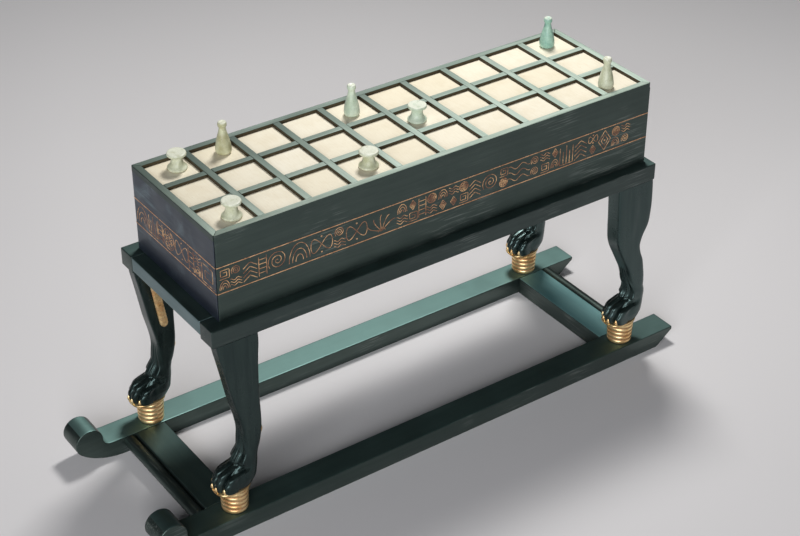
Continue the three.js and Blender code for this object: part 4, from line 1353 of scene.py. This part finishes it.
# %% [markdown]
# ## Playing pieces
# The pieces are glazed faience: ground quartz under a thin pale green glass. The glaze pools in
# broad patches, where it is deeper in tone, and it is pitted and crazed. The tops are painted
# paler, as painted light from above. Each was shaped by hand, so every turned shape swells a
# little in its own way.

# %% Faience
def faience_look(low, high, pooled, lit_top_from):
    """A glaze between two tones, with greener clouds, dark pits and a fine net of cracks.

    Above a height in metres the glaze turns to a pale colour: painted light on the tops.
    """
    def look(place):
        clouds = place.noise(150, detail=4.0, roughness=0.6)
        pits = place.noise(900, detail=2.0).between(0.66, 0.73)
        cells = place.node("TexVoronoi", {"feature": "DISTANCE_TO_EDGE"},
                           {"Vector": place, "Scale": 420.0})
        cracks = 1 - cells.between(0.0, 0.07)
        glaze = clouds.between(0.3, 0.7).blend(low, high)
        deep = place.noise(60, detail=2.0).between(0.5, 0.75)
        glaze = (deep * 0.5).blend(glaze, pooled)
        # Painted light: the top of each piece turns pale, for the light falling on it from above.
        painted_lit = place.part("Z").between(lit_top_from - 0.0012, lit_top_from + 0.0003)
        glaze = (painted_lit * clouds.between(0.2, 0.5) * 0.75).blend(glaze, (0.78, 0.80, 0.68))
        marked = (pits * 0.55 + cracks * 0.16).blend(glaze, (0.16, 0.17, 0.10))
        height = clouds * 0.5 - pits * 0.6 - cracks * 0.15
        return {"Base Color": marked, "Roughness": 0.32 + clouds * 0.2 + pits * 0.3,
                "Normal": relief(height, 0.00035, 0.6)}
    return look


GLAZES = {
    "pale": ((0.52, 0.54, 0.36), (0.73, 0.76, 0.59), (0.40, 0.41, 0.20)),
    "olive": ((0.46, 0.45, 0.26), (0.66, 0.67, 0.46), (0.34, 0.31, 0.13)),
    "green": ((0.55, 0.67, 0.53), (0.72, 0.82, 0.66), (0.33, 0.45, 0.28)),
    "blue": ((0.26, 0.50, 0.41), (0.50, 0.74, 0.60), (0.10, 0.32, 0.26)),
}
COATS = {"pale": 0.25, "olive": 0.25, "green": 0.25, "blue": 0.35}
print("glazes:", ", ".join(GLAZES))

# %% Reels and cones
SPOOL = np.array([(0.90, 0), (0.98, 0.02), (1.0, 0.07), (0.985, 0.12), (0.91, 0.16),
                  (0.79, 0.22), (0.69, 0.30), (0.62, 0.40), (0.58, 0.52), (0.585, 0.64),
                  (0.66, 0.74), (0.84, 0.79), (0.96, 0.83), (0.98, 0.90), (0.94, 0.965),
                  (0.86, 0.99), (0.5, 0.985), (0.06, 0.98)])
CONE = np.array([(0.76, 0), (0.88, 0.012), (0.96, 0.045), (1.0, 0.10), (0.99, 0.16),
                 (0.955, 0.23), (0.89, 0.32), (0.81, 0.41), (0.71, 0.50), (0.60, 0.59),
                 (0.51, 0.67), (0.45, 0.74), (0.425, 0.79), (0.455, 0.825), (0.52, 0.85),
                 (0.55, 0.89), (0.545, 0.935), (0.50, 0.97), (0.42, 0.99), (0.25, 0.985),
                 (0.06, 0.975)])
SWELL_ROOM = 0.15


def player(node, shares, seed):
    """A turned playing piece. The radius swells with angle and height by a few hundredths."""
    (x0, x1), (y0, y1), (z0, z1) = extent(node)
    radius, height = (x1 - x0) / 2 - SWELL_ROOM, z1 - z0
    s = np.linspace(0, 1, 90)
    knots = np.linspace(0, 1, len(shares))
    profile = stacked(smooth_curve(knots, shares[:, 0], s) * radius,
                      np.clip(smooth_curve(knots, shares[:, 1], s), 0, 1) * height)
    rings = turned(profile, 64)
    draw = np.random.default_rng(seed)
    phase = draw.uniform(0, 2 * np.pi, 3)
    turn, rise = circle(64)[None, :], s[:, None]
    swell = (0.984 + 0.009 * np.sin(2 * turn + phase[0] + 2 * rise)
             + 0.006 * np.sin(3 * turn + phase[1] - 4 * rise))
    rings[..., :2] *= swell[..., None]
    rings += np.array([(x0 + x1) / 2, (y0 + y1) / 2, z0])
    return loft(rings)


TONES = {"spool_1": "pale", "spool_2": "pale", "spool_3": "pale", "spool_4": "green",
         "cone_1": "olive", "cone_2": "green", "cone_3": "blue", "cone_4": "pale"}
for number, (name, tone) in enumerate(TONES.items()):
    shares = SPOOL if name.startswith("spool") else CONE
    lit_top_from = (extent(name)[2][1] - 0.5) * MILLIMETRE
    glaze = finish("faience_" + name, faience_look(*GLAZES[tone], lit_top_from),
                   Coat_Weight=COATS[tone], Coat_Roughness=0.2)
    piece(name + "_glazed", player(name, shares, number), name,
          glaze, [name])
print("eight playing pieces")
